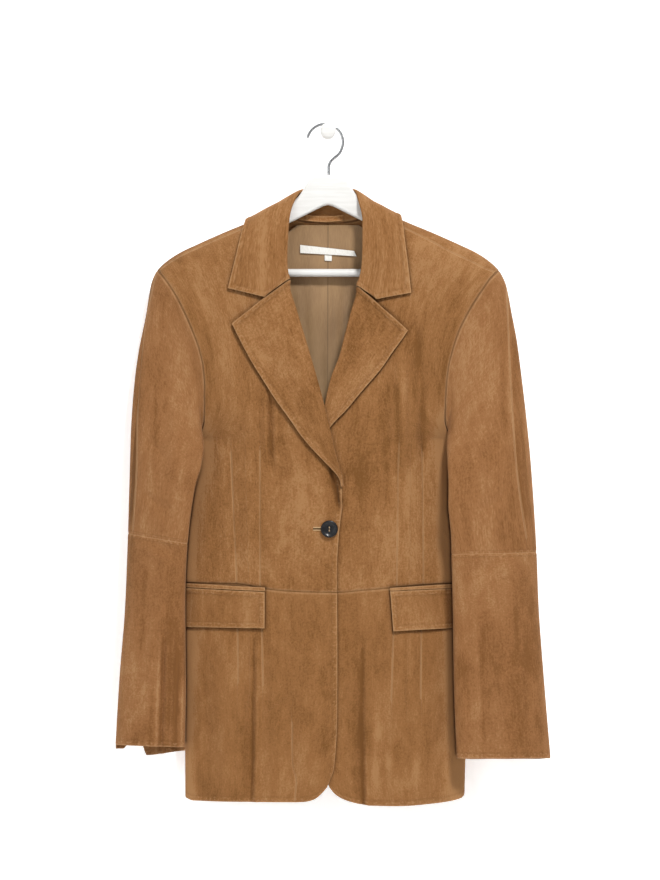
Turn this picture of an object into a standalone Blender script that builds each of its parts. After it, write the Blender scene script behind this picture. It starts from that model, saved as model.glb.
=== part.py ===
"""Suede jacket hanging on a wooden hanger from a round wall knob.

The wall is the plane Y = 0, the viewer stands at -Y and +Z is up. The origin is the middle of
the knob's flat back. Left and right are the wearer's, so the wearer's right is at -X.

Sizes are in millimetres and MM turns them into Blender's metres. Places on the cloth are
given as x, down (below the knob's middle) and fore (out from the wall).
"""
import math

import bmesh
import bpy
import numpy as np
from mathutils import Matrix, Vector

MM = 0.001
OBJECT_NAME = "suede_jacket_on_hanger"

# ---- Cloth walls and gaps ----
SUEDE = 1.8
LINING_CLOTH = 1.0
LABEL_CLOTH = 0.6
SEAM = 0.35
LAY_ON = 0.5

FRONT = 1
BACK = -1
RIGHT = -1
LEFT = 1
SIDE_NAMES = {RIGHT: "right", LEFT: "left"}


def table(columns, rows):
    """Rows of numbers as named columns."""
    return dict(zip(columns.split(), np.array(rows, float).T))


# ---- Outline of the body ----
# The line where front and back meet on top of each shoulder.
SHOULDER = table("out down", [
    (62, 100), (84, 110), (106, 119.5), (134, 131), (170, 147), (195, 159), (215, 173), (223, 181)])

# The seam round each armhole: scooped in front, straighter behind.
ARMHOLE = {
    FRONT: table("down right left", [
        (181, 223, 223), (193, 212.6, 211), (215, 198, 195.5), (239, 186, 181), (264, 175, 169),
        (287, 167, 161.5), (311, 162, 156), (335, 160.5, 153.5), (376, 161, 152), (396, 167, 158),
        (405, 180, 172)]),
    BACK: table("down right left", [
        (181, 223, 223), (193, 215, 214), (215, 205, 202), (239, 196, 192), (264, 189, 184),
        (287, 184, 178), (311, 180.5, 173.5), (335, 178, 170.5), (376, 176.5, 168.5),
        (396, 177.5, 169.5), (405, 180, 172)])}

# Depth of the body from the wall at its middle, front and back, at its side folds (flank), and
# the distance out to the side folds. Above the armholes the sides lie out in the sleeves.
BODY = table("down front back flank right left", [
    (100, 52, 11, 25, 300, 300), (181, 56, 10, 27, 285, 285), (264, 62, 9, 28, 262, 260),
    (335, 66, 9, 29, 232, 227), (376, 68, 9, 29, 205, 197), (396, 68, 9, 29, 188, 180),
    (405, 68, 9, 29, 180, 172), (500, 67, 9, 31, 184, 180), (590, 63, 10, 33, 187, 183),
    (700, 66, 9, 34, 184, 182), (875, 72, 8, 36, 184, 178)])

UNDERARM_DOWN = 405
RIDGE_FORE = 25
# How far down from the shoulder the cloth needs to reach its full depth, in front and behind.
OVER_SHOULDER = {FRONT: 45, BACK: 35}
SIDE_FOLD = 6
SIDE_SLOPE = {FRONT: 115, BACK: 100}
CROWN = {FRONT: 8, BACK: 2}

# ---- Edges of the fronts: neckline, roll line and front edge, then the hem ----
FRONT_EDGE = {
    RIGHT: table("down x", [
        (100, -62), (130, -59), (165, -56), (198, -52.5), (237, -41), (281, -27.7), (315, -17.7),
        (351, -7.8), (391, 2.2), (416, 7.8), (435, 13), (450, 16.3), (470, 18), (490, 17.8),
        (511, 15.6), (541, 13), (571, 11.7), (601, 11.7), (692, 12.3), (772, 11.7), (805, 10),
        (829, 7.5), (853, -1)]),
    LEFT: table("down x", [
        (100, 62), (130, 57), (165, 51), (205, 41), (233, 32), (265, 23.4), (295, 15.6), (322, 5.2),
        (354, -2.6), (385, -8), (430, -12.5), (450, -15), (490, -14), (541, -12), (601, -12),
        (692, -12), (772, -12), (805, -10.5), (829, -7.5), (853, 1.5)])}
FRONT_CORNER_DOWN = 853
HEM = {
    RIGHT: table("x down", [
        (-184, 868), (-173, 872), (-100, 872.6), (-43, 872.7), (-31, 872.2), (-18, 869),
        (-8.3, 861.5), (-1, 853)]),
    LEFT: table("x down", [
        (178, 864.5), (173, 869), (131, 875.7), (92, 878), (56, 877), (31, 872.6), (18, 868),
        (8.3, 861.5), (1.5, 853)])}
BACK_HEM = table("out down", [(0, 846), (90, 852), (150, 861), (184, 868)])
BACK_NECK = table("out down", [(0, 119.5), (25, 118.5), (45, 114), (58, 107), (66.2, 101.9)])
WAIST = table("x down", [
    (-190, 589.4), (-120, 590.3), (-79, 596.7), (-45, 599.7), (10, 601), (47, 598), (80, 595.4),
    (159, 590), (190, 589.4)])

# The wearer's right front lies over the left one: how far each stands from their common face.
LAP_RISE = table("down over under", [
    (97, 2.6, 2.2), (440, 3.2, 2.6), (500, 1.9, 1.9), (880, 1.9, 1.9)])
LAP_START = 58
LAP_FULL = 14

# ---- Largest folds: from one end to the other, depth (a ridge is negative) and half width ----
FOLD_COLUMNS = "x_top down_top x_end down_end depth width"
FRONT_FOLDS = table(FOLD_COLUMNS, [
    (-94, 650, -97, 900, 4.5, 17), (49, 640, 50, 900, 5.5, 19), (-76, 330, -70, 480, 3.0, 15),
    (109, 240, 124, 390, 3.5, 16), (92, 270, 96, 450, -3.0, 14), (-130, 690, -137, 900, -3.5, 18),
    (118, 690, 124, 900, -3.5, 18)])
BACK_FOLDS = table(FOLD_COLUMNS, [
    (-62, 240, -72, 560, 3.0, 22), (70, 300, 62, 560, 2.5, 22), (-96, 630, -100, 900, 3.5, 20),
    (84, 640, 92, 900, 3.5, 20)])
SLEEVE_FOLDS = table(FOLD_COLUMNS, [
    (-214, 650, -222, 830, 3.5, 10), (-190, 560, -240, 520, 3.0, 12), (-200, 470, -196, 330, -2.5, 12),
    (222, 640, 232, 830, 3.5, 11), (170, 585, 240, 540, 3.0, 12), (196, 470, 188, 330, -2.5, 12)])

# ---- Rows of cloth between the shoulder and the waist ----
ARMHOLE_ROWS = 14
UPPER_ROWS = 22
FRONT_COLUMNS = 11
BACK_COLUMNS = 9
# Where the columns of the upper back lie across it: two of them turn the corner of the neck.
BACK_SHARES = (0, 0.05, 0.14, 0.26, 0.4, 0.55, 0.703, 0.727, 0.86, 1)
SKIRT_ROWS = 9
SIDE_CROWDING = 1.4
TOP_CROWDING = 1.7

# ---- Sleeves: rings from the armhole to the cuff ----
# out and in are the outer and inner edge seen from the front. cap_front, cap_back and cap_fore
# are the shares of the armhole's own curve left in the ring, turn is how far the outer seam rolls
# round to the front in degrees, and lean is how far the front sags inwards over the underarm.
SLEEVE_COLUMNS = "out_x out_down in_x in_down out_fore in_fore half cap_front cap_back cap_fore turn lean"
SLEEVE = {
    RIGHT: table(SLEEVE_COLUMNS, [
        (223, 181, 180, 405, 25, 29, 20, 1, 1, 1, 0, 0),
        (230, 197, 186, 409, 26, 31, 21, 0.98, 0.8, 0.8, 0, 8),
        (238, 243, 192, 412, 28, 35, 22, 0.95, 0.4, 0.5, 5, 31),
        (247, 288, 197, 417, 30, 40, 23, 0.85, 0.12, 0.25, 18, 56),
        (252.5, 330, 200, 425, 32, 46, 23, 0.6, 0.02, 0.1, 26, 80),
        (256.5, 385, 199, 440, 34, 54, 22, 0.2, 0, 0.03, 30, 92),
        (258.5, 450, 192, 470, 36, 61, 22, 0, 0, 0, 26, 62),
        (260.5, 524.5, 184, 538, 39, 67, 22, 0, 0, 0, 10, 15),
        (264, 617, 186.6, 620, 42, 66, 21, 0, 0, 0, 4, 0),
        (271.5, 714, 185.8, 716, 44, 66, 20, 0, 0, 0, 0, 0),
        (276.5, 799, 187, 801, 45, 66, 19, 0, 0, 0, 0, 0)]),
    LEFT: table(SLEEVE_COLUMNS, [
        (223, 181, 172, 405, 25, 29, 20, 1, 1, 1, 0, 0),
        (232, 200, 178.5, 409, 26, 31, 21, 0.98, 0.8, 0.8, 0, 8),
        (240, 240, 184, 412, 28, 35, 22, 0.95, 0.4, 0.5, 5, 28),
        (246.5, 275, 188, 418, 30, 40, 23, 0.85, 0.12, 0.25, 18, 50),
        (252, 318, 190, 427, 33, 47, 23, 0.6, 0.02, 0.1, 26, 72),
        (258, 370, 187, 445, 36, 57, 22, 0.2, 0, 0.03, 30, 87),
        (264, 432, 176, 485, 39, 68, 22, 0, 0, 0, 30, 70),
        (271.5, 549, 160, 551, 42, 76, 21, 0, 0, 0, 14, 8),
        (274, 617, 161.5, 618, 44, 75, 21, 0, 0, 0, 6, 0),
        (281, 715, 163, 720, 46, 75, 20, 0, 0, 0, 0, 0),
        (289.5, 816, 166.5, 815, 47, 75, 19, 0, 0, 0, 0, 0)])}
SLEEVE_START = 0.06
ELBOW_RING = 7
CUFF_RING = 10
UPPER_SLEEVE_RINGS = 11
LOWER_SLEEVE_RINGS = 6
LOWER_SLEEVE_COLUMNS = 10
# How far the under half hangs below the top half at the cuff, from the outer to the inner edge.
CUFF_DROP = {
    RIGHT: table("across drop", [
        (0, 5.5), (0.1, 5.8), (0.18, 0), (0.38, 0), (0.44, 13.5), (0.7, 10), (1, 5)]),
    LEFT: table("across drop", [(0, 1), (0.15, 2.5), (0.8, 2.5), (1, 1)])}
CUFF_DROP_POWER = 3
# How round a ring is from front to back (1 a circle, less is fuller), and the half thickness that
# the depth of a sleeve's folds is a share of.
SLEEVE_ROUNDNESS = 0.85
SLEEVE_HALF = 22
LEAN_POWER = 4
LEAN_LIFT = 0.5
# Middle distance from a sleeve's axis to its seams, and from one ring to the next at the elbow.
SLEEVE_RADIUS = 60
RING_STEP = 80

# ---- Collar: three lines from the gorge of one side round the neck to the other ----
# The places count from the centre back, 0, over the top of the shoulder, 2.5, to the gorge, 6.
# The free edge has no fore of its own: it lies on the body, lifted off it.
GORGE = 6
COLLAR_ROLL = {
    RIGHT: table("place x down fore", [
        (0, 0, 73, 10), (1, -24, 74, 12.5), (2, -38, 77, 24), (3, -47, 94, 41), (4, -52, 117, 52),
        (5, -54.2, 165, 59.5), (6, -52.7, 195, 61)]),
    LEFT: table("place x down fore", [
        (0, 0, 73, 10), (1, 24, 74, 12.5), (2, 38, 77, 24), (3, 42, 93, 41), (4, 46.5, 119, 52),
        (5, 45.5, 168, 59.5), (6, 40, 203.5, 61)])}
COLLAR_BELLY = {
    RIGHT: table("place x down fore", [
        (0, 0, 106, 6.5), (1, -44, 102, 8), (2, -68, 96, 16), (2.5, -74, 97, 27),
        (3, -78, 102, 41), (4, -84, 126, 53), (5, -88, 168, 62.5), (6, -84, 215, 63)]),
    LEFT: table("place x down fore", [
        (0, 0, 106, 6.5), (1, 42, 102, 8), (2, 62, 94, 16), (2.5, 66, 94.5, 27),
        (3, 69, 100, 41), (4, 72, 126, 53), (5, 75, 170, 62.5), (6, 66, 219, 63)])}
COLLAR_EDGE = {
    RIGHT: table("place x down lift", [
        (0, 0, 139, 2.8), (1, -60, 136, 2.8), (2, -98, 127, 3.2), (2.5, -104, 118.6, 3.4),
        (3, -108, 127, 3.2), (4, -113, 142, 3.2), (5, -121, 172, 3), (6, -130, 206, 2.8)]),
    LEFT: table("place x down lift", [
        (0, 0, 139, 2.8), (1, 57, 135.5, 2.8), (2, 87, 122, 3.2), (2.5, 92, 113.4, 3.4),
        (3, 95, 122, 3.2), (4, 98.5, 140, 3.2), (5, 103, 173, 3), (6, 108, 212, 2.8)])}
RIDGE_PLACE = 2.5
# Length, in places, over which the free edge passes from the back to the front of the body.
RIDGE_BLEND = 0.4
# Near the gorge the fall runs straight to a corner that stands off the notch, then to its edge.
KNEE = 0.42
NOTCH_RISE = 2.2
NOTCH_CLEAR = 1.4
END_BLEND = 0.5
NECK_SEAM = {
    RIGHT: table("place x down fore", [
        (0, 0, 119.3, 14.6), (1, -40, 114.8, 15.8), (2, -55, 95.5, 20.5), (2.5, -57, 95.5, 29),
        (3, -58, 103, 34), (4, -56.5, 124, 43.5), (5, -54.5, 168, 53)]),
    LEFT: table("place x down fore", [
        (0, 0, 119.3, 14.6), (1, 39, 114.8, 15.8), (2, 54, 95.5, 20.5), (2.5, 56, 95.5, 29),
        (3, 56.5, 103, 34), (4, 53, 124, 43.5), (5, 47.5, 168, 53)])}
NOTCH = {RIGHT: (-83, 219.7), LEFT: (63.7, 222.3)}
COLLAR_COLUMNS = 48
COLLAR_ROWS = 5
STAND_PLACE = 4.6
STAND_COLUMNS = 26
STAND_ROWS = 2
STAND_CLOTH = 1.4

# ---- Lapels: roll line from the gorge down, and the free edge from the point down ----
LAPEL_EDGE = {
    RIGHT: table("x down", [
        (-124.8, 252), (-117, 267.8), (-98.8, 301.6), (-75.4, 339), (-57, 365), (-33.8, 397.8),
        (-14.3, 420.6), (-1.3, 432), (7, 440), (12.2, 452)]),
    LEFT: table("x down", [
        (103.4, 260.5), (91.8, 278), (70, 309.4), (50.3, 332.8), (25.5, 362.7), (0.5, 390.7),
        (-6, 412), (-10, 440)])}
LAPEL_TOP = {RIGHT: (-52.6, 196.8), LEFT: (40.4, 205.4)}
LAPEL_END = {RIGHT: (16.2, 452), LEFT: (-13.6, 440)}
LAPEL_COLUMNS = 6
LAPEL_ROWS = 14
# Height of the soft roll beside the roll line, as a share of the lapel's width there.
LAPEL_BELLY = {RIGHT: 0.05, LEFT: 0.04}
# Less than 1 draws the roll's crest towards the roll line.
LAPEL_CREST = 0.7

# ---- Pockets, as shares of the skirt panel across from the side ----
FLAP_CORNERS = {
    RIGHT: ((-185.3, 595.6), (-82, 600.2), (-82.2, 647.4), (-186, 646.2)),
    LEFT: ((181.5, 595.4), (80.5, 599.4), (84.5, 651.2), (182, 646.5))}
WELT_CORNERS = {
    RIGHT: ((-185.5, 589.3), (-81.5, 594.4), (-81.5, 599.2), (-185.3, 594.6)),
    LEFT: ((182, 589), (80.3, 594.8), (80.3, 598.6), (182, 594.6))}
FLAP_LIFT = 0.6
FLAP_COLUMNS = 10
FLAP_ROWS = 3

# ---- Lining, loop and labels ----
LINING_WIDTH = table("down out", [
    (121.5, 40), (140, 64), (165, 98), (200, 132), (300, 146), (400, 148), (480, 156), (834, 160)])
# The lining lies close at the neck and hangs a little freer below.
LINING_INSET = SUEDE + 0.6
LINING_EASE = 2.8
LINING_EASE_RUN = 120
LINING_COLUMNS = 12
LINING_ROWS = 16
# Rows of the lining crowd towards the neck.
LINING_CROWDING = 1.3
LABEL_CORNERS = ((-36.4, 148), (33.8, 156), (37, 163), (-36.4, 158.6))
TAB_CORNERS = ((-4, 161.5), (5, 162.2), (5, 169.2), (-4, 168.5))
LABEL_COLUMNS = 4
LOOP_ENDS = (-29, 20)
LOOP_DOWN = 112.6
LOOP_SAG = 2
LOOP_STRAP = 8
LOOP_CLOTH = 1.2
LOOP_FORE = 17.1
LOOP_SWELL = 1.6
LOOP_COLUMNS = 12

# ---- Button ----
BUTTON_PLACE = (1.7, 518.4)
BUTTON_RADIUS = 11.2
BUTTON_HEIGHT = 3.4
# Where the button's round edge turns, as distance in from the rim and height or depth.
BUTTON_PROFILE = table("inset height", [
    (3.8, 2.2), (2.85, 3), (1.9, 3.4), (0.6, 2.9), (0, 2), (0.5, 0.4), (1.6, 0)])
BUTTON_STEPS = 24
BUTTON_HOLE_RADIUS = 1.1
BUTTON_HOLE_SPREAD = 2.4
HOLE_LENGTH = 26
HOLE_WIDTH = 7.5
HOLE_SLIT = 1.2
HOLE_MIDDLE = (-6.5, 518.2)
HOLE_HEIGHT = 0.8
# Suede left at each end of the slit.
HOLE_END = 2

# ---- Hanger, hook and knob ----
HANGER_FORE = 26.5
HANGER_THICKNESS = 11
HANGER_ROUNDING = 5.2
HANGER_TOP = table("out down", [
    (0, 57.4), (11, 57.4), (17, 58.6), (23, 62), (28, 68.5), (33, 77.5), (36, 82), (40, 86.8),
    (50, 95.6), (62, 103), (84, 113), (106, 122.3), (134, 133.8), (170, 149.8), (190, 159.6),
    (203, 169)])
HANGER_FOOT = table("out down", [
    (208, 178), (206, 189), (197, 196), (172.8, 196), (172.8, 178.4), (163, 174.6), (110, 149.4),
    (52, 121), (20, 105), (6, 98), (0, 96.6)])
BAR_RADIUS = 5.2
BAR_DOWN = 185
BAR_HALF = 172.4
BAR_SIDES = 12
HOOK_RADIUS = 2
HOOK_BEND = 23.4
HOOK_MIDDLE = (-3.9, 14.3)
HOOK_TIP_ANGLE = 168
HOOK_END_ANGLE = -20
HOOK_NECK = ((16, 27.5), (12.2, 32), (7.2, 36), (2.8, 41), (0.8, 47), (0.8, 52), (0.8, 57))
KNOB_PROFILE = table("radius fore", [
    (4, 40), (7, 39.5), (9.4, 37.9), (10.4, 35.5), (10.4, 33.5), (9.4, 31.5), (6.2, 30.4), (6.2, 6),
    (7, 4.5), (9.5, 3.6), (9.5, 0)])
KNOB_STEPS = 28
HOOK_STEPS = 20

# ---- Colours (linear red, green, blue), roughness, metallic ----
SUEDE_LOOK = ("suede", (0.33, 0.155, 0.055), 0.95, 0.0)
LINING_LOOK = ("lining", (0.27, 0.175, 0.09), 0.6, 0.0)
LABEL_LOOK = ("label", (0.85, 0.84, 0.81), 0.8, 0.0)
BUTTON_LOOK = ("horn_button", (0.01, 0.012, 0.02), 0.25, 0.0)
LACQUER_LOOK = ("white_lacquer", (0.8, 0.79, 0.77), 0.35, 0.0)
WIRE_LOOK = ("plated_wire", (0.75, 0.75, 0.75), 0.2, 1.0)


def clear_scene():
    for item in list(bpy.data.objects):
        bpy.data.objects.remove(item, do_unlink=True)


def make_collection():
    group = bpy.data.collections.new(OBJECT_NAME)
    bpy.context.scene.collection.children.link(group)
    return group


def material(look):
    name, colour, roughness, metallic = look
    found = bpy.data.materials.get(name)
    if found:
        return found
    finish = bpy.data.materials.new(name)
    finish.use_nodes = True
    shader = finish.node_tree.nodes["Principled BSDF"]
    shader.inputs["Base Color"].default_value = (*colour, 1.0)
    shader.inputs["Roughness"].default_value = roughness
    shader.inputs["Metallic"].default_value = metallic
    return finish


def keep(name, mesh, look):
    """Add a finished mesh to the jacket's collection under its own name."""
    mesh.name = name
    part = bpy.data.objects.new(name, mesh)
    part.data.materials.append(material(look))
    bpy.data.collections[OBJECT_NAME].objects.link(part)
    return part


# ---- Curves read from the tables ----
def smooth(marks, values, at):
    """Read values, each known at its mark, on a smooth curve that never swings past them."""
    slopes = level_slopes(marks, values)
    at = np.clip(at, marks[0], marks[-1])
    i = np.clip(np.searchsorted(marks, at, side="right") - 1, 0, len(marks) - 2)
    width = marks[i + 1] - marks[i]
    t = (at - marks[i]) / width
    start = (1 + 2 * t) * (1 - t) ** 2 * values[i] + t * t * (3 - 2 * t) * values[i + 1]
    return start + width * t * (1 - t) * ((1 - t) * slopes[i] - t * slopes[i + 1])


def level_slopes(marks, values):
    """Slope of the curve at each mark: a mean of its two sides, and none at a peak."""
    width = np.diff(marks)
    rise = np.diff(values) / width
    slopes = np.concatenate([rise[:1], np.zeros(len(rise) - 1), rise[-1:]])
    before, after = rise[:-1], rise[1:]
    same = before * after > 0
    near, far = width[1:] * 2 + width[:-1], width[1:] + width[:-1] * 2
    slopes[1:-1][same] = ((near + far)[same]
                          / (near[same] / before[same] + far[same] / after[same]))
    return slopes


def along(points, share):
    """Places on the smooth curve through points, at shares of its length."""
    points = np.array(points, float)
    steps = np.hypot(*np.diff(points, axis=0).T)
    marks = np.concatenate([[0], np.cumsum(steps)]) / steps.sum()
    return np.stack([smooth(marks, column, share) for column in points.T], axis=-1)


def points_of(rows, *columns):
    return np.stack([rows[column] for column in columns], axis=-1)


def ease(t):
    t = np.clip(t, 0, 1)
    return t * t * (3 - 2 * t)


def quarter_round(t):
    """Height of a quarter circle of radius 1 at a share of its width."""
    return np.sqrt(1 - (1 - np.clip(t, 0, 1)) ** 2)


def place(x, fore, down):
    x, fore, down = np.broadcast_arrays(x, fore, down)
    return np.stack([x, -fore, -down], axis=-1).astype(float)


# ---- The faces of the body ----
def fold_depth(x, down, folds):
    depth = 0
    for i in range(len(folds["depth"])):
        start = np.array([folds["x_top"][i], folds["down_top"][i]])
        run = np.array([folds["x_end"][i], folds["down_end"][i]]) - start
        share = ((x - start[0]) * run[0] + (down - start[1]) * run[1]) / (run @ run)
        aside = ((x - start[0]) * run[1] - (down - start[1]) * run[0]) / math.hypot(*run)
        taper = ease(4 * share) * ease(4 * (1 - share))
        depth = depth + folds["depth"][i] * taper * np.exp(-(aside / folds["width"][i]) ** 2)
    return depth


def body_side(x, down):
    right = smooth(BODY["down"], BODY["right"], down)
    left = smooth(BODY["down"], BODY["left"], down)
    return np.where(x < 0, right, left)


def body_fore(x, down, face):
    """Distance from the wall of the outer face of the front or the back."""
    out = np.abs(x)
    side = body_side(x, down)
    flank = smooth(BODY["down"], BODY["flank"], down)
    middle = smooth(BODY["down"], BODY["front" if face == FRONT else "back"], down)
    level = np.abs(middle - flank) - CROWN[face] * np.minimum(out / side, 1) ** 2 - SIDE_FOLD
    inward = side - out
    slope = 1 - (1 - np.clip(inward / SIDE_SLOPE[face], 0, 1)) ** 2
    swell = SIDE_FOLD * quarter_round(inward / SIDE_FOLD) + level * slope
    folds = FRONT_FOLDS if face == FRONT else BACK_FOLDS
    swell = swell - fold_depth(x, down, folds) * ease(inward / 20)
    drop = down - smooth(SHOULDER["out"], SHOULDER["down"], out)
    over = quarter_round(drop / OVER_SHOULDER[face])
    return RIDGE_FORE + (flank - RIDGE_FORE + face * swell) * over + face * SEAM / 2


def panel_fore(x, down, side, face):
    """Face of one panel: the two fronts are parted where they lie on each other."""
    fore = body_fore(x, down, face)
    if face == BACK:
        return fore
    near = ease((LAP_START - side * x) / (LAP_START - LAP_FULL))
    over = smooth(LAP_RISE["down"], LAP_RISE["over"], down)
    under = smooth(LAP_RISE["down"], LAP_RISE["under"], down)
    return fore + near * np.where(side == RIGHT, over, -under)


def lifted(x, down, side, face, lift):
    """Points moved out from a panel's face along its normal."""
    step = 0.01
    fore = panel_fore(x, down, side, face)
    outer, inner = panel_fore(x + step, down, side, face), panel_fore(x - step, down, side, face)
    lower, upper = panel_fore(x, down + step, side, face), panel_fore(x, down - step, side, face)
    across = (outer - inner) / (2 * step)
    below = (lower - upper) / (2 * step)
    length = np.sqrt(1 + across ** 2 + below ** 2)
    return place(x - face * lift * across / length, fore + face * lift / length,
                 down - face * lift * below / length)


# ---- Cloth walls ----
def wall(name, columns, rows, face_point, thickness, look, facing):
    """A cloth piece laid on face_point(across, along), thickened inwards, away from facing.

    facing is a direction that the middle of the piece looks towards.
    """
    bm = bmesh.new()
    bmesh.ops.create_grid(bm, x_segments=columns, y_segments=rows, size=0.5)
    bm.verts.ensure_lookup_table()
    share = np.array([vert.co[:2] for vert in bm.verts]) + 0.5
    share = np.clip(share, 0, 1)
    outer = face_point(share[:, 0], share[:, 1])
    normals = face_normals(face_point, share[:, 0], share[:, 1])
    middle = face_normals(face_point, np.array([0.5]), np.array([0.5]))[0]
    if middle @ np.array(facing, float) < 0:
        normals = -normals
    inner = outer - normals * thickness
    first = list(bm.verts)
    pairs = {}
    for vert, point in zip(first, inner):
        pairs[tuple(np.round(vert.co[:2], 5))] = Vector(point * MM)
    grown = bmesh.ops.extrude_face_region(bm, geom=bm.faces[:])
    second = [item for item in grown["geom"] if isinstance(item, bmesh.types.BMVert)]
    for vert in second:
        vert.co = pairs[tuple(np.round(vert.co[:2], 5))]
    for vert, point in zip(first, outer):
        vert.co = Vector(point * MM)
    bmesh.ops.recalc_face_normals(bm, faces=bm.faces[:])
    mesh = bpy.data.meshes.new(name)
    bm.to_mesh(mesh)
    bm.free()
    mesh.shade_smooth()
    mesh.set_sharp_from_angle(angle=math.radians(40))
    return keep(name, mesh, look)


def face_normals(face_point, across, down):
    step = 1e-4
    a0, a1 = np.maximum(across - step, 0), np.minimum(across + step, 1)
    b0, b1 = np.maximum(down - step, 0), np.minimum(down + step, 1)
    run_a = face_point(a1, down) - face_point(a0, down)
    run_b = face_point(across, b1) - face_point(across, b0)
    normals = np.cross(run_a, run_b)
    return normals / np.linalg.norm(normals, axis=1, keepdims=True)


def stretch(outer, inner, top, bottom, a, b):
    """Places inside four edges, at shares a across and b down (a Coons patch)."""
    corners = [top(0), top(1), bottom(0), bottom(1)]
    a = np.asarray(a)[:, None]
    b = np.asarray(b)[:, None]
    sides = (1 - a) * outer(b[:, 0]) + a * inner(b[:, 0])
    edges = sides + (1 - b) * top(a[:, 0]) + b * bottom(a[:, 0])
    return edges - (1 - b) * ((1 - a) * corners[0] + a * corners[1]) \
        - b * ((1 - a) * corners[2] + a * corners[3])


# ---- Body panels ----
def pair(x, down):
    x, down = np.broadcast_arrays(np.asarray(x, float), np.asarray(down, float))
    return np.stack([x, down], axis=-1)


def armhole(side, face, share):
    points = points_of(ARMHOLE[face], SIDE_NAMES[side], "down")
    place_on = along(points, share)
    return pair(side * place_on[..., 0], place_on[..., 1])


def waist_down(x):
    return smooth(WAIST["x"], WAIST["down"], x)


def round_share(step):
    """Share of the armhole's length at a row, as the sleeve's half ring divides it."""
    return (1 - np.cos(math.pi * np.clip(step / ARMHOLE_ROWS, 0, 1))) / 2


def upper_side(side, face, b):
    """Outer edge of an upper panel: armhole, then side fold down to the waist."""
    row = np.asarray(b) * UPPER_ROWS
    below = np.clip((row - ARMHOLE_ROWS) / (UPPER_ROWS - ARMHOLE_ROWS), 0, 1)
    side_x = side * body_side(side, UNDERARM_DOWN)
    waist = waist_down(side_x) - SEAM / 2
    down = UNDERARM_DOWN + (waist - UNDERARM_DOWN) * below
    on_side = pair(side * body_side(side, down), down)
    return np.where((row < ARMHOLE_ROWS)[..., None], armhole(side, face, round_share(row)), on_side)


def upper_rows_down(b, start, end):
    """Heights of the rows at the inner edge: crowded at the top, even below the underarm."""
    row = np.asarray(b) * UPPER_ROWS
    above = start + (UNDERARM_DOWN - start) * np.clip(row / ARMHOLE_ROWS, 0, 1) ** TOP_CROWDING
    share = np.clip((row - ARMHOLE_ROWS) / (UPPER_ROWS - ARMHOLE_ROWS), 0, 1)
    return above + (end - UNDERARM_DOWN) * share


def shoulder_down(x):
    return smooth(SHOULDER["out"], SHOULDER["down"], np.abs(x))


def front_upper_place(side, a, b):
    edge = FRONT_EDGE[side]
    neck_x = edge["x"][0]
    tip_x = side * SHOULDER["out"][-1]
    waist_inner = smooth(edge["down"], edge["x"], WAIST["down"].max())
    waist_outer = upper_side(side, FRONT, 1.0)[0]
    end = waist_down(waist_inner) - SEAM / 2

    def inner(b):
        down = upper_rows_down(b, SHOULDER["down"][0], end)
        return pair(smooth(edge["down"], edge["x"], down), down)

    def top(a):
        x = tip_x + (neck_x - tip_x) * np.asarray(a)
        return pair(x, shoulder_down(x))

    def bottom(a):
        x = waist_outer + (waist_inner - waist_outer) * np.asarray(a)
        return pair(x, waist_down(x) - SEAM / 2)

    return stretch(lambda b: upper_side(side, FRONT, b), inner, top, bottom, a ** SIDE_CROWDING, b)


def front_skirt_place(side, a, b):
    edge = FRONT_EDGE[side]
    hem = points_of(HEM[side], "x", "down")
    start_outer = upper_side(side, FRONT, 1.0)[0]
    start_inner = smooth(edge["down"], edge["x"], WAIST["down"].max())

    def outer(b):
        start = waist_down(start_outer) + SEAM / 2
        down = start + (hem[0, 1] - start) * np.asarray(b)
        return pair(side * body_side(side, down), down)

    def inner(b):
        start = waist_down(start_inner) + SEAM / 2
        down = start + (FRONT_CORNER_DOWN - start) * np.asarray(b)
        return pair(smooth(edge["down"], edge["x"], down), down)

    def top(a):
        x = start_outer + (start_inner - start_outer) * np.asarray(a)
        return pair(x, waist_down(x) + SEAM / 2)

    def bottom(a):
        return along(hem, np.asarray(a))

    return stretch(outer, inner, top, bottom, a ** SIDE_CROWDING, b)


def back_upper_place(side, a, b):
    tip_x = side * SHOULDER["out"][-1]
    middle_x = side * SEAM / 2
    waist_outer = upper_side(side, BACK, 1.0)[0]
    neck = BACK_NECK
    across = smooth(np.linspace(0, 1, len(BACK_SHARES)), np.array(BACK_SHARES), a)

    def inner(b):
        down = upper_rows_down(b, neck["down"][0], waist_down(0) - SEAM / 2)
        return pair(middle_x, down)

    def top(a):
        x = tip_x + (middle_x - tip_x) * np.asarray(a)
        out = np.abs(x)
        neckline = smooth(neck["out"], neck["down"], out)
        return pair(x, np.where(out < neck["out"][-1], neckline, shoulder_down(x)))

    def bottom(a):
        x = waist_outer + (middle_x - waist_outer) * np.asarray(a)
        return pair(x, waist_down(x) - SEAM / 2)

    return stretch(lambda b: upper_side(side, BACK, b), inner, top, bottom, across, b)


def back_skirt_place(side, a, b):
    middle_x = side * SEAM / 2
    start_outer = upper_side(side, BACK, 1.0)[0]
    hem_side = HEM[side]["down"][0]

    def hem_down(x):
        return smooth(BACK_HEM["out"], BACK_HEM["down"], np.abs(x))

    def outer(b):
        start = waist_down(start_outer) + SEAM / 2
        down = start + (hem_side - start) * np.asarray(b)
        return pair(side * body_side(side, down), down)

    def inner(b):
        start = waist_down(0) + SEAM / 2
        return pair(middle_x, start + (hem_down(0) - start) * np.asarray(b))

    def top(a):
        x = start_outer + (middle_x - start_outer) * np.asarray(a)
        return pair(x, waist_down(x) + SEAM / 2)

    def bottom(a):
        end_x = outer(1.0)[0]
        x = end_x + (middle_x - end_x) * np.asarray(a)
        return pair(x, hem_down(x) + (hem_side - hem_down(end_x)) * (x / end_x) ** 2)

    return stretch(outer, inner, top, bottom, a ** SIDE_CROWDING, b)


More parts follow.
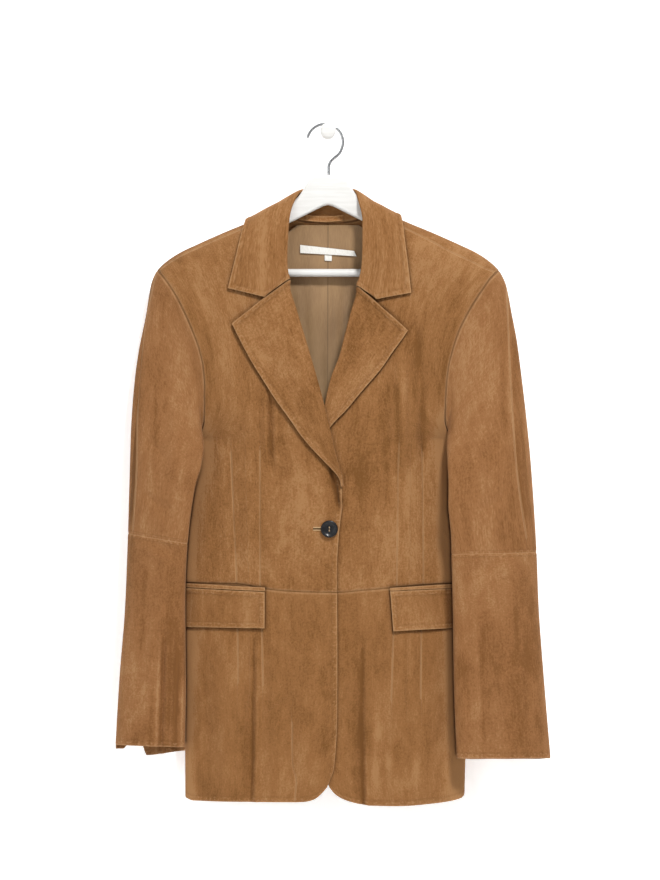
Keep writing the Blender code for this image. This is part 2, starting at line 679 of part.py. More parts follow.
def body_panel(name, side, face, flat_place, columns, rows):
    def face_point(a, b):
        flat = flat_place(side, a, b)
        fore = panel_fore(flat[:, 0], flat[:, 1], side, face)
        return place(flat[:, 0], fore, flat[:, 1])
    return wall(f"{name}_{SIDE_NAMES[side]}", columns, rows, face_point, SUEDE, SUEDE_LOOK,
                (0, -face, 0))


def make_body():
    for side in (RIGHT, LEFT):
        body_panel("front_upper", side, FRONT, front_upper_place, FRONT_COLUMNS, UPPER_ROWS)
        body_panel("front_skirt", side, FRONT, front_skirt_place, FRONT_COLUMNS, SKIRT_ROWS)
        body_panel("back_upper", side, BACK, back_upper_place, BACK_COLUMNS, UPPER_ROWS)
        body_panel("back_skirt", side, BACK, back_skirt_place, BACK_COLUMNS, SKIRT_ROWS)


# ---- Sleeves ----
def sleeve_point(side, angle, ring):
    """Point of a sleeve: angle 0 is its outer edge, pi its inner edge, below 0 its back."""
    rings = SLEEVE[side]
    count = np.arange(len(rings["out_x"]))

    def read(column):
        return smooth(count, rings[column], ring)

    across = (1 - np.cos(angle)) / 2
    front = np.sin(angle) >= 0
    chord_x = read("out_x") + (read("in_x") - read("out_x")) * across
    chord_down = read("out_down") + (read("in_down") - read("out_down")) * across
    arm = np.where(front[..., None], armhole(side, FRONT, across), armhole(side, BACK, across))
    arm_x = side * arm[..., 0]
    cap = np.where(front, read("cap_front"), read("cap_back"))
    first_x = rings["out_x"][0] + (rings["in_x"][0] - rings["out_x"][0]) * across
    first_down = rings["out_down"][0] + (rings["in_down"][0] - rings["out_down"][0]) * across
    sag = read("lean") * np.maximum(np.sin(angle), 0) * across ** LEAN_POWER
    x = side * (chord_x + cap * (arm_x - first_x) - sag)
    down = chord_down + cap * (arm[..., 1] - first_down)
    seam_fore = np.where(front, body_fore(arm[..., 0], arm[..., 1], FRONT),
                         body_fore(arm[..., 0], arm[..., 1], BACK))
    tube_fore = read("out_fore") + (read("in_fore") - read("out_fore")) * across
    swell = np.sign(np.sin(angle)) * np.abs(np.sin(angle)) ** SLEEVE_ROUNDNESS * read("half")
    swell = swell * (1 - fold_depth(x, down, SLEEVE_FOLDS) / SLEEVE_HALF)
    share = read("cap_fore")
    share = np.where(front, share, share + (read("cap_back") - share) * np.sin(angle) ** 2)
    fore = share * seam_fore + (1 - share) * (tube_fore + swell) + LEAN_LIFT * sag
    return place(x, fore, down)


def sleeve_half(side, face, first, last):
    """Faces of one half of a sleeve between two rings: across from its outer to its inner seam."""
    seam_angle = SEAM / SLEEVE_RADIUS
    drop = CUFF_DROP[side]

    def face_point(a, b):
        ring = first + (last - first) * b
        turn = smooth(np.arange(len(SLEEVE[side]["turn"])), SLEEVE[side]["turn"], ring)
        start = np.radians(turn) + face * seam_angle
        end = face * (math.pi - seam_angle)
        angle = start + (end - start) * a
        point = sleeve_point(side, angle, ring)
        if face == BACK and last == CUFF_RING:
            across = (1 - np.cos(angle)) / 2
            point[:, 2] -= smooth(drop["across"], drop["drop"], across) * b ** CUFF_DROP_POWER
        return point
    return face_point


def sleeve_piece(name, side, first, last, face, columns, rows):
    return wall(name, columns, rows, sleeve_half(side, face, first, last), SUEDE, SUEDE_LOOK,
                (0, -face, 0))


def make_sleeves():
    gap = SEAM / RING_STEP
    for side in (RIGHT, LEFT):
        ending = SIDE_NAMES[side]
        for face, half in ((FRONT, "top"), (BACK, "under")):
            sleeve_piece(f"sleeve_{half}_upper_{ending}", side, SLEEVE_START, ELBOW_RING - gap, face,
                         ARMHOLE_ROWS, UPPER_SLEEVE_RINGS)
            sleeve_piece(f"sleeve_{half}_lower_{ending}", side, ELBOW_RING + gap, CUFF_RING, face,
                         LOWER_SLEEVE_COLUMNS, LOWER_SLEEVE_RINGS)


# ---- Collar and lapels ----
def both_sides(tables, column):
    """A column read from the right gorge over the centre back to the left gorge."""
    return np.concatenate([tables[RIGHT][column][:0:-1], tables[LEFT][column]])


def collar_line(tables, at):
    """Points of a line round the neck, at from -GORGE on the right to GORGE on the left."""
    places = both_sides(tables, "place")
    places[:len(tables[RIGHT]["place"]) - 1] *= -1
    x = smooth(places, both_sides(tables, "x"), at)
    down = smooth(places, both_sides(tables, "down"), at)
    return x, down, places


def free_line(tables, at):
    x, down, places = collar_line(tables, at)
    return place(x, smooth(places, both_sides(tables, "fore"), at), down)


def lying_line(tables, at):
    """Edge of the fall, which lies on the body in front, over the shoulder and behind."""
    x, down, places = collar_line(tables, at)
    lift = smooth(places, both_sides(tables, "lift"), at)
    side = np.where(x < 0, RIGHT, LEFT)
    down = np.maximum(down, shoulder_down(x) + 0.05)
    on_front = lifted(x, down, side, FRONT, lift)
    on_back = lifted(x, down, side, BACK, lift)
    share = ease((np.abs(at) - RIDGE_PLACE) / RIDGE_BLEND + 0.5)[:, None]
    return share * on_front + (1 - share) * on_back


def through_three(first, middle, last, share):
    share = share[:, None]
    return first * (1 - share) * (1 - 2 * share) + middle * 4 * share * (1 - share) \
        + last * share * (2 * share - 1)


def collar_fall_point(a, b):
    at = GORGE * (2 * a - 1)
    roll = free_line(COLLAR_ROLL, at)
    belly = free_line(COLLAR_BELLY, at)
    edge = lying_line(COLLAR_EDGE, at)
    curved = through_three(roll, belly, edge, b)
    corner = np.where((at < 0)[:, None], belly_corner(RIGHT), belly_corner(LEFT))
    share = b[:, None]
    straight = np.where(share < KNEE, roll + (corner - roll) * share / KNEE,
                        corner + (edge - corner) * (share - KNEE) / (1 - KNEE))
    end = ease((np.abs(at) - GORGE) / END_BLEND + 1)[:, None]
    return (1 - end) * curved + end * straight


def belly_corner(side):
    x, down = NOTCH[side]
    above = np.array([down - NOTCH_RISE])
    return lifted(np.array([x]), above, side, FRONT, LAY_ON + SUEDE + NOTCH_CLEAR)[0]


def stand_point(a, b):
    """Throat side of the stand's outer face, from just inside the roll down to the neck seam."""
    at = STAND_PLACE * (2 * a - 1)
    spot = (at / GORGE + 1) / 2
    roll = free_line(COLLAR_ROLL, at)
    outward = face_normals(collar_fall_point, spot, np.zeros_like(spot))
    top = roll - outward_sign() * outward * (SUEDE + LAY_ON)
    seam = free_line(NECK_SEAM, at)
    share = b[:, None]
    return top + (seam - top) * share


def outward_sign():
    """1 where the raw normals of the fall already point away from the neck."""
    middle = face_normals(collar_fall_point, np.array([0.5]), np.array([0.5]))[0]
    return 1 if middle[1] > 0 else -1


def make_collar():
    wall("collar_fall", COLLAR_COLUMNS, COLLAR_ROWS, collar_fall_point, SUEDE, SUEDE_LOOK, (0, 1, 0))
    wall("collar_stand", STAND_COLUMNS, STAND_ROWS, stand_point, STAND_CLOTH, SUEDE_LOOK, (0, 1, 0))


def lapel_place(side, a, b):
    edge = FRONT_EDGE[side]
    top_x, top_down = LAPEL_TOP[side]
    free = points_of(LAPEL_EDGE[side], "x", "down")
    end_x, end_down = LAPEL_END[side]

    def inner(b):
        down = top_down + (end_down - top_down) * np.asarray(b)
        return pair(smooth(edge["down"], edge["x"], down) + side * SEAM, down)

    def outer(b):
        return along(free, np.asarray(b))

    def top(a):
        share = np.asarray(a, float)[..., None]
        return inner(0.0) + (free[0] - inner(0.0)) * share

    def bottom(a):
        share = np.asarray(a, float)[..., None]
        return inner(1.0) + (free[-1] - inner(1.0)) * share

    return stretch(inner, outer, top, bottom, a, b)


def lapel(side):
    def face_point(a, b):
        flat = lapel_place(side, a, b)
        width = np.hypot(*(lapel_place(side, 0 * a + 1, b) - lapel_place(side, 0 * a, b)).T)
        belly = LAPEL_BELLY[side] * width * np.sin(math.pi * a ** LAPEL_CREST) ** 2
        return lifted(flat[:, 0], flat[:, 1], side, FRONT, LAY_ON + SUEDE + belly)
    wall(f"lapel_{SIDE_NAMES[side]}", LAPEL_COLUMNS, LAPEL_ROWS, face_point, SUEDE, SUEDE_LOOK,
         (0, -1, 0))


# ---- Small pieces laid on the panels ----
def four_corners(corners, a, b):
    top_outer, top_inner, low_inner, low_outer = (np.array(corner, float) for corner in corners)
    a = a[:, None]
    b = b[:, None]
    return (1 - b) * ((1 - a) * top_outer + a * top_inner) + b * ((1 - a) * low_outer + a * low_inner)


def patch_on_panel(name, corners, side, face, lift, thickness, columns, rows, look):
    """A piece that lies on a panel, made from the panel's points moved out."""
    def face_point(a, b):
        flat = four_corners(corners, a ** SIDE_CROWDING, b)
        return lifted(flat[:, 0], flat[:, 1], side, face, lift + thickness)
    return wall(name, columns, rows, face_point, thickness, look, (0, -face, 0))


def make_pockets():
    for side in (RIGHT, LEFT):
        ending = SIDE_NAMES[side]
        patch_on_panel(f"pocket_flap_{ending}", FLAP_CORNERS[side], side, FRONT, FLAP_LIFT, SUEDE,
                       FLAP_COLUMNS, FLAP_ROWS, SUEDE_LOOK)
        patch_on_panel(f"pocket_welt_{ending}", WELT_CORNERS[side], side, FRONT, FLAP_LIFT, SUEDE,
                       FLAP_COLUMNS, 1, SUEDE_LOOK)


def inside_back(x, down, inset):
    """Points inside the hollow, a distance in from the outer face of the back."""
    return lifted(x, down, RIGHT, BACK, -inset)


def lining_inset(down):
    top = LINING_WIDTH["down"][0]
    return LINING_INSET + LINING_EASE * ease((down - top) / LINING_EASE_RUN)


def make_lining():
    top = LINING_WIDTH["down"][0]
    depth = LINING_WIDTH["down"][-1] - top

    def face_point(a, b):
        down = top + depth * b ** LINING_CROWDING
        out = smooth(LINING_WIDTH["down"], LINING_WIDTH["out"], down)
        return inside_back(out * (2 * a - 1), down, lining_inset(down))
    wall("lining_back", LINING_COLUMNS, LINING_ROWS, face_point, LINING_CLOTH, LINING_LOOK, (0, 1, 0))


def make_labels():
    for name, corners in (("neck_label", LABEL_CORNERS), ("size_tab", TAB_CORNERS)):
        def face_point(a, b, corners=corners):
            flat = four_corners(corners, a, b)
            inset = lining_inset(flat[:, 1]) + LINING_CLOTH + SEAM
            return inside_back(flat[:, 0], flat[:, 1], inset)
        wall(name, LABEL_COLUMNS, 1, face_point, LABEL_CLOTH, LABEL_LOOK, (0, 1, 0))


def make_loop():
    start, end = LOOP_ENDS

    def face_point(a, b):
        x = start + (end - start) * a
        arch = np.sin(math.pi * a)
        down = LOOP_DOWN + LOOP_SAG * arch + LOOP_STRAP * (b - 0.5)
        return place(x, LOOP_FORE + LOOP_SWELL * arch, down)
    wall("hanging_loop", LOOP_COLUMNS, 1, face_point, LOOP_CLOTH, SUEDE_LOOK, (0, 1, 0))


# ---- Button and buttonhole ----
def mesh_of(name, maker):
    mesh = bpy.data.meshes.new(name)
    bm = bmesh.new()
    maker(bm)
    bm.to_mesh(mesh)
    bm.free()
    return mesh


def add_cutter(name, mesh):
    group = bpy.data.collections.get("cutters") or bpy.data.collections.new("cutters")
    if group.name not in bpy.context.scene.collection.children:
        bpy.context.scene.collection.children.link(group)
    cutter = bpy.data.objects.new(name, mesh)
    cutter.hide_render = True
    cutter.display_type = "WIRE"
    group.objects.link(cutter)
    return cutter


def cut(part, cutter):
    boolean = part.modifiers.new("cut", "BOOLEAN")
    boolean.operation = "DIFFERENCE"
    boolean.object = cutter


def facing_wall(x, fore, down):
    """Turns a shape made along +Z to look along -Y, at a place on the front."""
    turn = Matrix.Rotation(math.radians(90), 4, "X")
    return Matrix.Translation(Vector((x, -fore, -down)) * MM) @ turn


def make_button():
    x, down = BUTTON_PLACE
    base = float(panel_fore(np.array([x]), np.array([down]), RIGHT, FRONT)[0])
    start = base + SEAM + HOLE_HEIGHT + SEAM
    radii, heights = BUTTON_RADIUS - BUTTON_PROFILE["inset"], BUTTON_PROFILE["height"]
    profile = [(0, heights[0])] + list(zip(radii, heights)) + [(0, heights[-1])]
    mesh = turned("button", profile, BUTTON_STEPS)
    mesh.transform(facing_wall(x, start, down))
    button = keep("button", mesh, BUTTON_LOOK)

    def holes(bm):
        for end in (-1, 1):
            bmesh.ops.create_cone(bm, cap_ends=True, segments=8, radius1=BUTTON_HOLE_RADIUS * MM,
                                  radius2=BUTTON_HOLE_RADIUS * MM, depth=4 * BUTTON_HEIGHT * MM,
                                  matrix=Matrix.Translation((0, end * BUTTON_HOLE_SPREAD * MM, 0)))
    cutter = mesh_of("button_holes", holes)
    cutter.transform(facing_wall(x, start, down))
    cut(button, add_cutter("button_holes", cutter))


def make_buttonhole():
    x, down = HOLE_MIDDLE
    start = float(panel_fore(np.array([x]), np.array([down]), RIGHT, FRONT)[0]) + SEAM

    def block(length, width, height):
        def maker(bm):
            bmesh.ops.create_cube(bm, size=1.0, matrix=Matrix.Diagonal(
                (length * MM, width * MM, height * MM, 1)))
        return maker
    mesh = mesh_of("buttonhole", block(HOLE_LENGTH, HOLE_WIDTH, HOLE_HEIGHT))
    middle = facing_wall(x, start + HOLE_HEIGHT / 2, down)
    mesh.transform(middle)
    lips = keep("buttonhole", mesh, SUEDE_LOOK)
    slit = mesh_of("buttonhole_slit", block(HOLE_LENGTH - 2 * HOLE_END, HOLE_SLIT, 4 * HOLE_HEIGHT))
    slit.transform(middle)
    cut(lips, add_cutter("buttonhole_slit", slit))


# ---- Hanger and knob ----
def turned(name, profile, steps):
    """A profile of radius and height, listed from the top down, turned about the vertical."""
    bm = bmesh.new()
    verts = [bm.verts.new((radius * MM, 0, height * MM)) for radius, height in profile]
    edges = [bm.edges.new(ends) for ends in zip(verts, verts[1:])]
    bmesh.ops.spin(bm, geom=verts + edges, axis=(0, 0, 1), cent=(0, 0, 0), angle=2 * math.pi,
                   steps=steps, use_merge=True)
    bmesh.ops.remove_doubles(bm, verts=bm.verts[:], dist=0.00001)
    bmesh.ops.recalc_face_normals(bm, faces=bm.faces[:])
    mesh = bpy.data.meshes.new(name)
    bm.to_mesh(mesh)
    bm.free()
    mesh.shade_smooth()
    mesh.set_sharp_from_angle(angle=math.radians(35))
    return mesh


def make_knob():
    rows = list(zip(KNOB_PROFILE["radius"], KNOB_PROFILE["fore"]))
    profile = [(0, rows[0][1])] + rows + [(0, rows[-1][1])]
    mesh = turned("wall_knob", profile, KNOB_STEPS)
    mesh.transform(facing_wall(0, 0, 0))
    keep("wall_knob", mesh, LACQUER_LOOK)


def wire(name, route, radius, look):
    """A wire through route, points in metres, with closed ends."""
    curve = bpy.data.curves.new(name, "CURVE")
    curve.dimensions = "3D"
    curve.bevel_depth = radius * MM
    curve.bevel_resolution = 2
    curve.use_fill_caps = True
    spline = curve.splines.new("POLY")
    spline.points.add(len(route) - 1)
    for point, spot in zip(spline.points, route):
        point.co = (*spot, 1)
    guide = bpy.data.objects.new(name, curve)
    bpy.context.scene.collection.objects.link(guide)
    mesh = bpy.data.meshes.new_from_object(guide.evaluated_get(bpy.context.evaluated_depsgraph_get()))
    bpy.data.objects.remove(guide, do_unlink=True)
    bm = bmesh.new()
    bm.from_mesh(mesh)
    bmesh.ops.remove_doubles(bm, verts=bm.verts[:], dist=0.00001)
    bmesh.ops.recalc_face_normals(bm, faces=bm.faces[:])
    bm.to_mesh(mesh)
    bm.free()
    mesh.shade_smooth()
    mesh.set_sharp_from_angle(angle=math.radians(50))
    return keep(name, mesh, look)


def make_hook():
    middle_x, middle_down = HOOK_MIDDLE
    route = []
    for share in np.linspace(0, 1, HOOK_STEPS + 1):
        angle = math.radians(HOOK_TIP_ANGLE + (HOOK_END_ANGLE - HOOK_TIP_ANGLE) * share)
        route.append((middle_x + HOOK_BEND * math.cos(angle), middle_down - HOOK_BEND * math.sin(angle)))
    route += HOOK_NECK
    spots = [Vector((x, -HANGER_FORE, -down)) * MM for x, down in route]
    wire("hanger_hook", spots, HOOK_RADIUS, WIRE_LOOK)


def make_hanger():
    half = [tuple(spot) for rows in (HANGER_TOP, HANGER_FOOT) for spot in points_of(rows, "out", "down")]
    outline = half + [(-x, down) for x, down in reversed(half) if x > 0]
    curve = bpy.data.curves.new("hanger_body", "CURVE")
    curve.dimensions = "2D"
    curve.fill_mode = "BOTH"
    curve.extrude = HANGER_THICKNESS / 2 * MM
    spline = curve.splines.new("POLY")
    spline.points.add(len(outline) - 1)
    spline.use_cyclic_u = True
    for point, (x, down) in zip(spline.points, outline):
        point.co = (x * MM, -down * MM, 0, 1)
    guide = bpy.data.objects.new("hanger_outline", curve)
    bpy.context.scene.collection.objects.link(guide)
    mesh = bpy.data.meshes.new_from_object(guide.evaluated_get(bpy.context.evaluated_depsgraph_get()))
    bpy.data.objects.remove(guide, do_unlink=True)
    bm = bmesh.new()
    bm.from_mesh(mesh)
    bmesh.ops.remove_doubles(bm, verts=bm.verts[:], dist=0.00001)
    bmesh.ops.dissolve_limit(bm, angle_limit=0.001, verts=bm.verts[:], edges=bm.edges[:])
    bmesh.ops.recalc_face_normals(bm, faces=bm.faces[:])
    rim = [edge for edge in bm.edges if edge.calc_face_angle(0) > math.radians(60)
           and abs(edge.verts[0].co.z - edge.verts[1].co.z) < 0.0001]
    bmesh.ops.bevel(bm, geom=rim, offset=HANGER_ROUNDING * MM, offset_type="OFFSET", segments=3,
                    profile=0.5, affect="EDGES", clamp_overlap=True, material=-1)
    bmesh.ops.triangulate(bm, faces=[face for face in bm.faces if len(face.verts) > 4])
    bm.to_mesh(mesh)
    bm.free()
    mesh.transform(facing_wall(0, HANGER_FORE, 0))
    mesh.shade_smooth()
    mesh.set_sharp_from_angle(angle=math.radians(40))
    keep("hanger_body", mesh, LACQUER_LOOK)

    def rod(bm):
        bmesh.ops.create_cone(bm, cap_ends=True, segments=BAR_SIDES, radius1=BAR_RADIUS * MM,
                              radius2=BAR_RADIUS * MM, depth=2 * BAR_HALF * MM)
    bar = mesh_of("hanger_bar", rod)
    bar.transform(Matrix.Translation((0, -HANGER_FORE * MM, -BAR_DOWN * MM))
                  @ Matrix.Rotation(math.radians(90), 4, "Y"))
    bar.shade_smooth()
    bar.set_sharp_from_angle(angle=math.radians(40))
    keep("hanger_bar", bar, LACQUER_LOOK)


clear_scene()
make_collection()
make_body()
make_sleeves()
make_collar()
lapel(RIGHT)
lapel(LEFT)
make_pockets()
make_lining()
make_labels()
make_loop()
make_buttonhole()
make_button()
make_hanger()
make_hook()
make_knob()
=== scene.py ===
"""Looks of the suede jacket on its hanger and wall knob.

Everything is in metres in the part's own frame; the tables are in millimetres. The wall is the
plane Y = 0, the viewer stands at -Y, and the wearer's right is at -X.
"""
import math
from functools import partial

import bmesh
import bpy
import numpy as np
from mathutils import Matrix, Vector


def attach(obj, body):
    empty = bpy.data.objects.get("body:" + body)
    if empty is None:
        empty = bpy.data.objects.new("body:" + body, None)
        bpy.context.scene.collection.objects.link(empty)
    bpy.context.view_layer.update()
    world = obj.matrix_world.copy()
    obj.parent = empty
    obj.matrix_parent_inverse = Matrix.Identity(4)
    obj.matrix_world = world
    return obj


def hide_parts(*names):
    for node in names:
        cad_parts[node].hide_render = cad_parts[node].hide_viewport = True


MM = 0.001
# Points nearer than this, in metres, are one.
WELD = 0.00001

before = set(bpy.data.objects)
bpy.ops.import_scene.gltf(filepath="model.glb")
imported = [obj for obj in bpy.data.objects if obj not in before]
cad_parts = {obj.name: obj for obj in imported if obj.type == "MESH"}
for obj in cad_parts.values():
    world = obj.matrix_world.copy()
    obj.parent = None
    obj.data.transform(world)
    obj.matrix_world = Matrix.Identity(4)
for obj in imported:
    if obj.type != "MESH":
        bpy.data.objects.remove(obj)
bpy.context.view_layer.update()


# ---- Cloth walls and gaps ----
SUEDE = 1.8
LINING_CLOTH = 1.0
LABEL_CLOTH = 0.6
SEAM = 0.35
LAY_ON = 0.5

FRONT = 1
BACK = -1
RIGHT = -1
LEFT = 1
SIDE_NAMES = {RIGHT: "right", LEFT: "left"}


def table(columns, rows):
    """Rows of numbers as named columns."""
    return dict(zip(columns.split(), np.array(rows, float).T))


# ---- Outline of the body ----
# The line where front and back meet on top of each shoulder.
SHOULDER = table("out down", [
    (62, 100), (84, 110), (106, 119.5), (134, 131), (170, 147), (195, 159), (215, 173),
    (223, 181)])

# The seam round each armhole: scooped in front, straighter behind.
ARMHOLE = {
    FRONT: table("down right left", [
        (181, 223, 223), (193, 212.6, 211), (215, 198, 195.5), (239, 186, 181), (264, 175, 169),
        (287, 167, 161.5), (311, 162, 156), (335, 160.5, 153.5), (376, 161, 152), (396, 167, 158),
        (405, 180, 172)]),
    BACK: table("down right left", [
        (181, 223, 223), (193, 215, 214), (215, 205, 202), (239, 196, 192), (264, 189, 184),
        (287, 184, 178), (311, 180.5, 173.5), (335, 178, 170.5), (376, 176.5, 168.5),
        (396, 177.5, 169.5), (405, 180, 172)])}

# Depth of the body from the wall at its middle, front and back, at its side folds (flank), and
# the distance out to the side folds. Above the armholes the sides lie out in the sleeves.
BODY = table("down front back flank right left", [
    (100, 52, 11, 25, 300, 300), (181, 56, 10, 27, 285, 285), (264, 62, 9, 28, 262, 260),
    (335, 66, 9, 29, 232, 227), (376, 68, 9, 29, 205, 197), (396, 68, 9, 29, 188, 180),
    (405, 68, 9, 29, 180, 172), (500, 67, 9, 31, 184, 180), (590, 63, 10, 33, 188.4, 183),
    (700, 66, 9, 34, 187.4, 182), (875, 72, 8, 36, 186.2, 178)])

UNDERARM_DOWN = 405
RIDGE_FORE = 25
# How far down from the shoulder the cloth needs to reach its full depth, in front and behind.
OVER_SHOULDER = {FRONT: 45, BACK: 35}
SIDE_FOLD = 6
# Folds and creases fade out this near the side folds.
SIDE_FADE = 20
SIDE_SLOPE = {FRONT: 115, BACK: 100}
CROWN = {FRONT: 8, BACK: 2}

# ---- Edges of the fronts: neckline, roll line and front edge, then the hem ----
FRONT_EDGE = {
    RIGHT: table("down x", [
        (100, -62), (130, -59), (165, -56), (198, -52.5), (237, -41), (281, -27.7), (315, -17.7),
        (351, -7.8), (391, 2.2), (416, 7.8), (435, 13), (450, 16.3), (470, 18), (490, 17.8),
        (511, 15.6), (541, 13), (571, 11.7), (601, 11.7), (692, 12.3), (772, 11.7), (805, 10),
        (829, 7.5), (853, -1)]),
    LEFT: table("down x", [
        (100, 62), (130, 57), (165, 51), (205, 41), (233, 32), (265, 23.4), (295, 15.6),
        (322, 5.2), (354, -2.6), (385, -8), (430, -12.5), (450, -15), (490, -14), (541, -12),
        (601, -12), (692, -12), (772, -12), (805, -10.5), (829, -7.5), (853, 1.5)])}
FRONT_CORNER_DOWN = 853
HEM = {
    RIGHT: table("x down", [
        (-184, 868), (-173, 872), (-100, 872.6), (-43, 872.7), (-31, 872.2), (-18, 869),
        (-8.3, 861.5), (-1, 853)]),
    LEFT: table("x down", [
        (178, 864.5), (173, 869), (131, 875.7), (92, 878), (56, 877), (31, 872.6), (18, 868),
        (8.3, 861.5), (1.5, 853)])}
BACK_HEM = table("out down", [(0, 846), (90, 852), (150, 861), (184, 868)])
BACK_NECK = table("out down", [(0, 119.5), (25, 118.5), (45, 114), (58, 107), (66.2, 101.9)])
WAIST = table("x down", [
    (-190, 589.4), (-120, 590.3), (-79, 596.7), (-45, 599.7), (10, 601), (47, 598), (80, 595.4),
    (159, 590), (190, 589.4)])

# The wearer's right front lies over the left one: how far each stands from their common face.
LAP_RISE = table("down over under", [
    (97, 2.6, 2.2), (440, 3.2, 2.6), (500, 1.9, 1.9), (880, 1.9, 1.9)])
LAP_START = 58
LAP_FULL = 14

# ---- Folds: from one end to the other, depth (a ridge is negative) and half width ----
FOLD_COLUMNS = "x_top down_top x_end down_end depth width"
FRONT_FOLDS = table(FOLD_COLUMNS, [
    (-94, 650, -97, 900, 4.5, 17), (49, 640, 50, 900, 5.5, 19), (-76, 330, -70, 480, 3.0, 15),
    (109, 240, 124, 390, 3.5, 16), (92, 270, 96, 450, -3.0, 14), (-130, 690, -137, 900, -3.5, 18),
    (118, 690, 124, 900, -3.5, 18)])
BACK_FOLDS = table(FOLD_COLUMNS, [
    (-62, 240, -72, 560, 3.0, 22), (70, 300, 62, 560, 2.5, 22), (-96, 630, -100, 900, 3.5, 20),
    (84, 640, 92, 900, 3.5, 20)])
SLEEVE_FOLDS = table(FOLD_COLUMNS, [
    (-214, 650, -222, 830, 3.5, 10), (-190, 560, -240, 520, 3.0, 12),
    (-200, 470, -196, 330, -2.5, 12), (222, 640, 232, 830, 3.5, 11), (170, 585, 240, 540, 3.0, 12),
    (196, 470, 188, 330, -2.5, 12), (-206, 430, -240, 400, 1.8, 6), (-200, 500, -244, 470, 2.2, 7),
    (-196, 560, -236, 548, -1.6, 6), (-246, 300, -250, 470, 1.6, 6),
    (-232, 330, -236, 480, 1.2, 8), (-236, 600, -244, 760, 1.4, 8), (-214, 560, -250, 600, 1.6, 7),
    (-211, 610, -220, 930, 4.0, 2.6), (-214.5, 610, -224, 930, -2.2, 3),
    (-191, 650, -200, 930, 3.2, 2.2), (-195, 650, -204, 930, -1.8, 2.6),
    (-203, 600, -209, 930, 2.2, 8), (190, 500, 236, 470, 2.2, 7), (180, 440, 226, 400, 1.8, 7),
    (234, 200, 238, 430, -2.2, 4), (226, 210, 229, 440, 1.4, 5), (214, 330, 210, 480, 1.2, 8),
    (176, 620, 186, 780, 1.8, 8), (196, 640, 200, 800, 2.2, 5), (206, 660, 208, 830, -1.2, 6),
    (254, 600, 262, 780, 1.6, 7), (196, 560, 244, 600, 1.6, 6), (236, 640, 246, 830, 1.3, 7),
    (196, 250, 214, 330, 1.2, 6)])

# ---- Rows of an upper panel: down the armhole, then on to the waist ----
ARMHOLE_ROWS = 14
UPPER_ROWS = 22
# Where the columns of the upper back lie across it: two of them turn the corner of the neck.
BACK_SHARES = (0, 0.05, 0.14, 0.26, 0.4, 0.55, 0.703, 0.727, 0.86, 1)
SIDE_CROWDING = 1.4
TOP_CROWDING = 1.7

# ---- Sleeves: rings from the armhole to the cuff ----
# out and in are the outer and inner edge seen from the front. cap_front, cap_back and cap_fore
# are the shares of the armhole's own curve left in the ring, turn is how far the outer seam rolls
# round to the front in degrees, and lean is how far the front sags inwards over the underarm.
SLEEVE_COLUMNS = ("out_x out_down in_x in_down out_fore in_fore half "
                  "cap_front cap_back cap_fore turn lean")
SLEEVE = {
    RIGHT: table(SLEEVE_COLUMNS, [
        (223, 181, 180, 405, 25, 29, 20, 1, 1, 1, 0, 0),
        (230, 197, 186, 409, 26, 31, 21, 0.98, 0.8, 0.8, 0, 8),
        (238, 243, 192, 412, 28, 35, 22, 0.95, 0.4, 0.5, 5, 31),
        (247, 288, 197, 417, 30, 40, 23, 0.85, 0.12, 0.25, 18, 56),
        (252.5, 330, 200, 425, 32, 46, 23, 0.6, 0.02, 0.1, 26, 80),
        (256.5, 385, 199, 440, 34, 54, 22, 0.2, 0, 0.03, 30, 92),
        (258.5, 450, 192, 470, 36, 61, 22, 0, 0, 0, 26, 62),
        (260.5, 524.5, 184, 538, 39, 67, 22, 0, 0, 0, 10, 15),
        (264, 617, 185, 620, 42, 66, 21, 0, 0, 0, 4, 0),
        (271.5, 714, 184.2, 716, 44, 66, 20, 0, 0, 0, 0, 0),
        (276.5, 799, 185.4, 801, 45, 66, 19, 0, 0, 0, 0, 0)]),
    LEFT: table(SLEEVE_COLUMNS, [
        (223, 181, 172, 405, 25, 29, 20, 1, 1, 1, 0, 0),
        (232, 200, 178.5, 409, 26, 31, 21, 0.98, 0.8, 0.8, 0, 8),
        (240, 240, 184, 412, 28, 35, 22, 0.95, 0.4, 0.5, 5, 28),
        (246.5, 275, 188, 418, 30, 40, 23, 0.85, 0.12, 0.25, 18, 50),
        (252, 318, 190, 427, 33, 47, 23, 0.6, 0.02, 0.1, 26, 72),
        (258, 370, 187, 445, 36, 57, 22, 0.2, 0, 0.03, 30, 87),
        (264, 432, 176, 485, 39, 68, 22, 0, 0, 0, 30, 70),
        (271.5, 549, 160, 551, 42, 76, 21, 0, 0, 0, 14, 8),
        (274, 617, 161.5, 618, 44, 75, 21, 0, 0, 0, 6, 0),
        (281, 715, 163, 720, 46, 75, 20, 0, 0, 0, 0, 0),
        (289.5, 816, 166.5, 815, 47, 75, 19, 0, 0, 0, 0, 0)])}
SLEEVE_START = 0.06
ELBOW_RING = 7
CUFF_RING = 10
# How far the under half hangs below the top half at the cuff, from the outer to the inner edge.
CUFF_DROP = {
    RIGHT: table("across drop", [
        (0, 5.5), (0.1, 5.8), (0.18, 0), (0.38, 0), (0.44, 13.5), (0.7, 10), (1, 5)]),
    LEFT: table("across drop", [(0, 1), (0.15, 2.5), (0.8, 2.5), (1, 1)])}
CUFF_DROP_POWER = 3
# How round a ring is from front to back (1 a circle, less is fuller), and the half thickness that
# the depth of a sleeve's folds is a share of.
SLEEVE_ROUNDNESS = 0.85
SLEEVE_HALF = 22
LEAN_POWER = 4
LEAN_LIFT = 0.5
# Middle distance from a sleeve's axis to its seams, and from one ring to the next at the elbow.
SLEEVE_RADIUS = 60
RING_STEP = 80

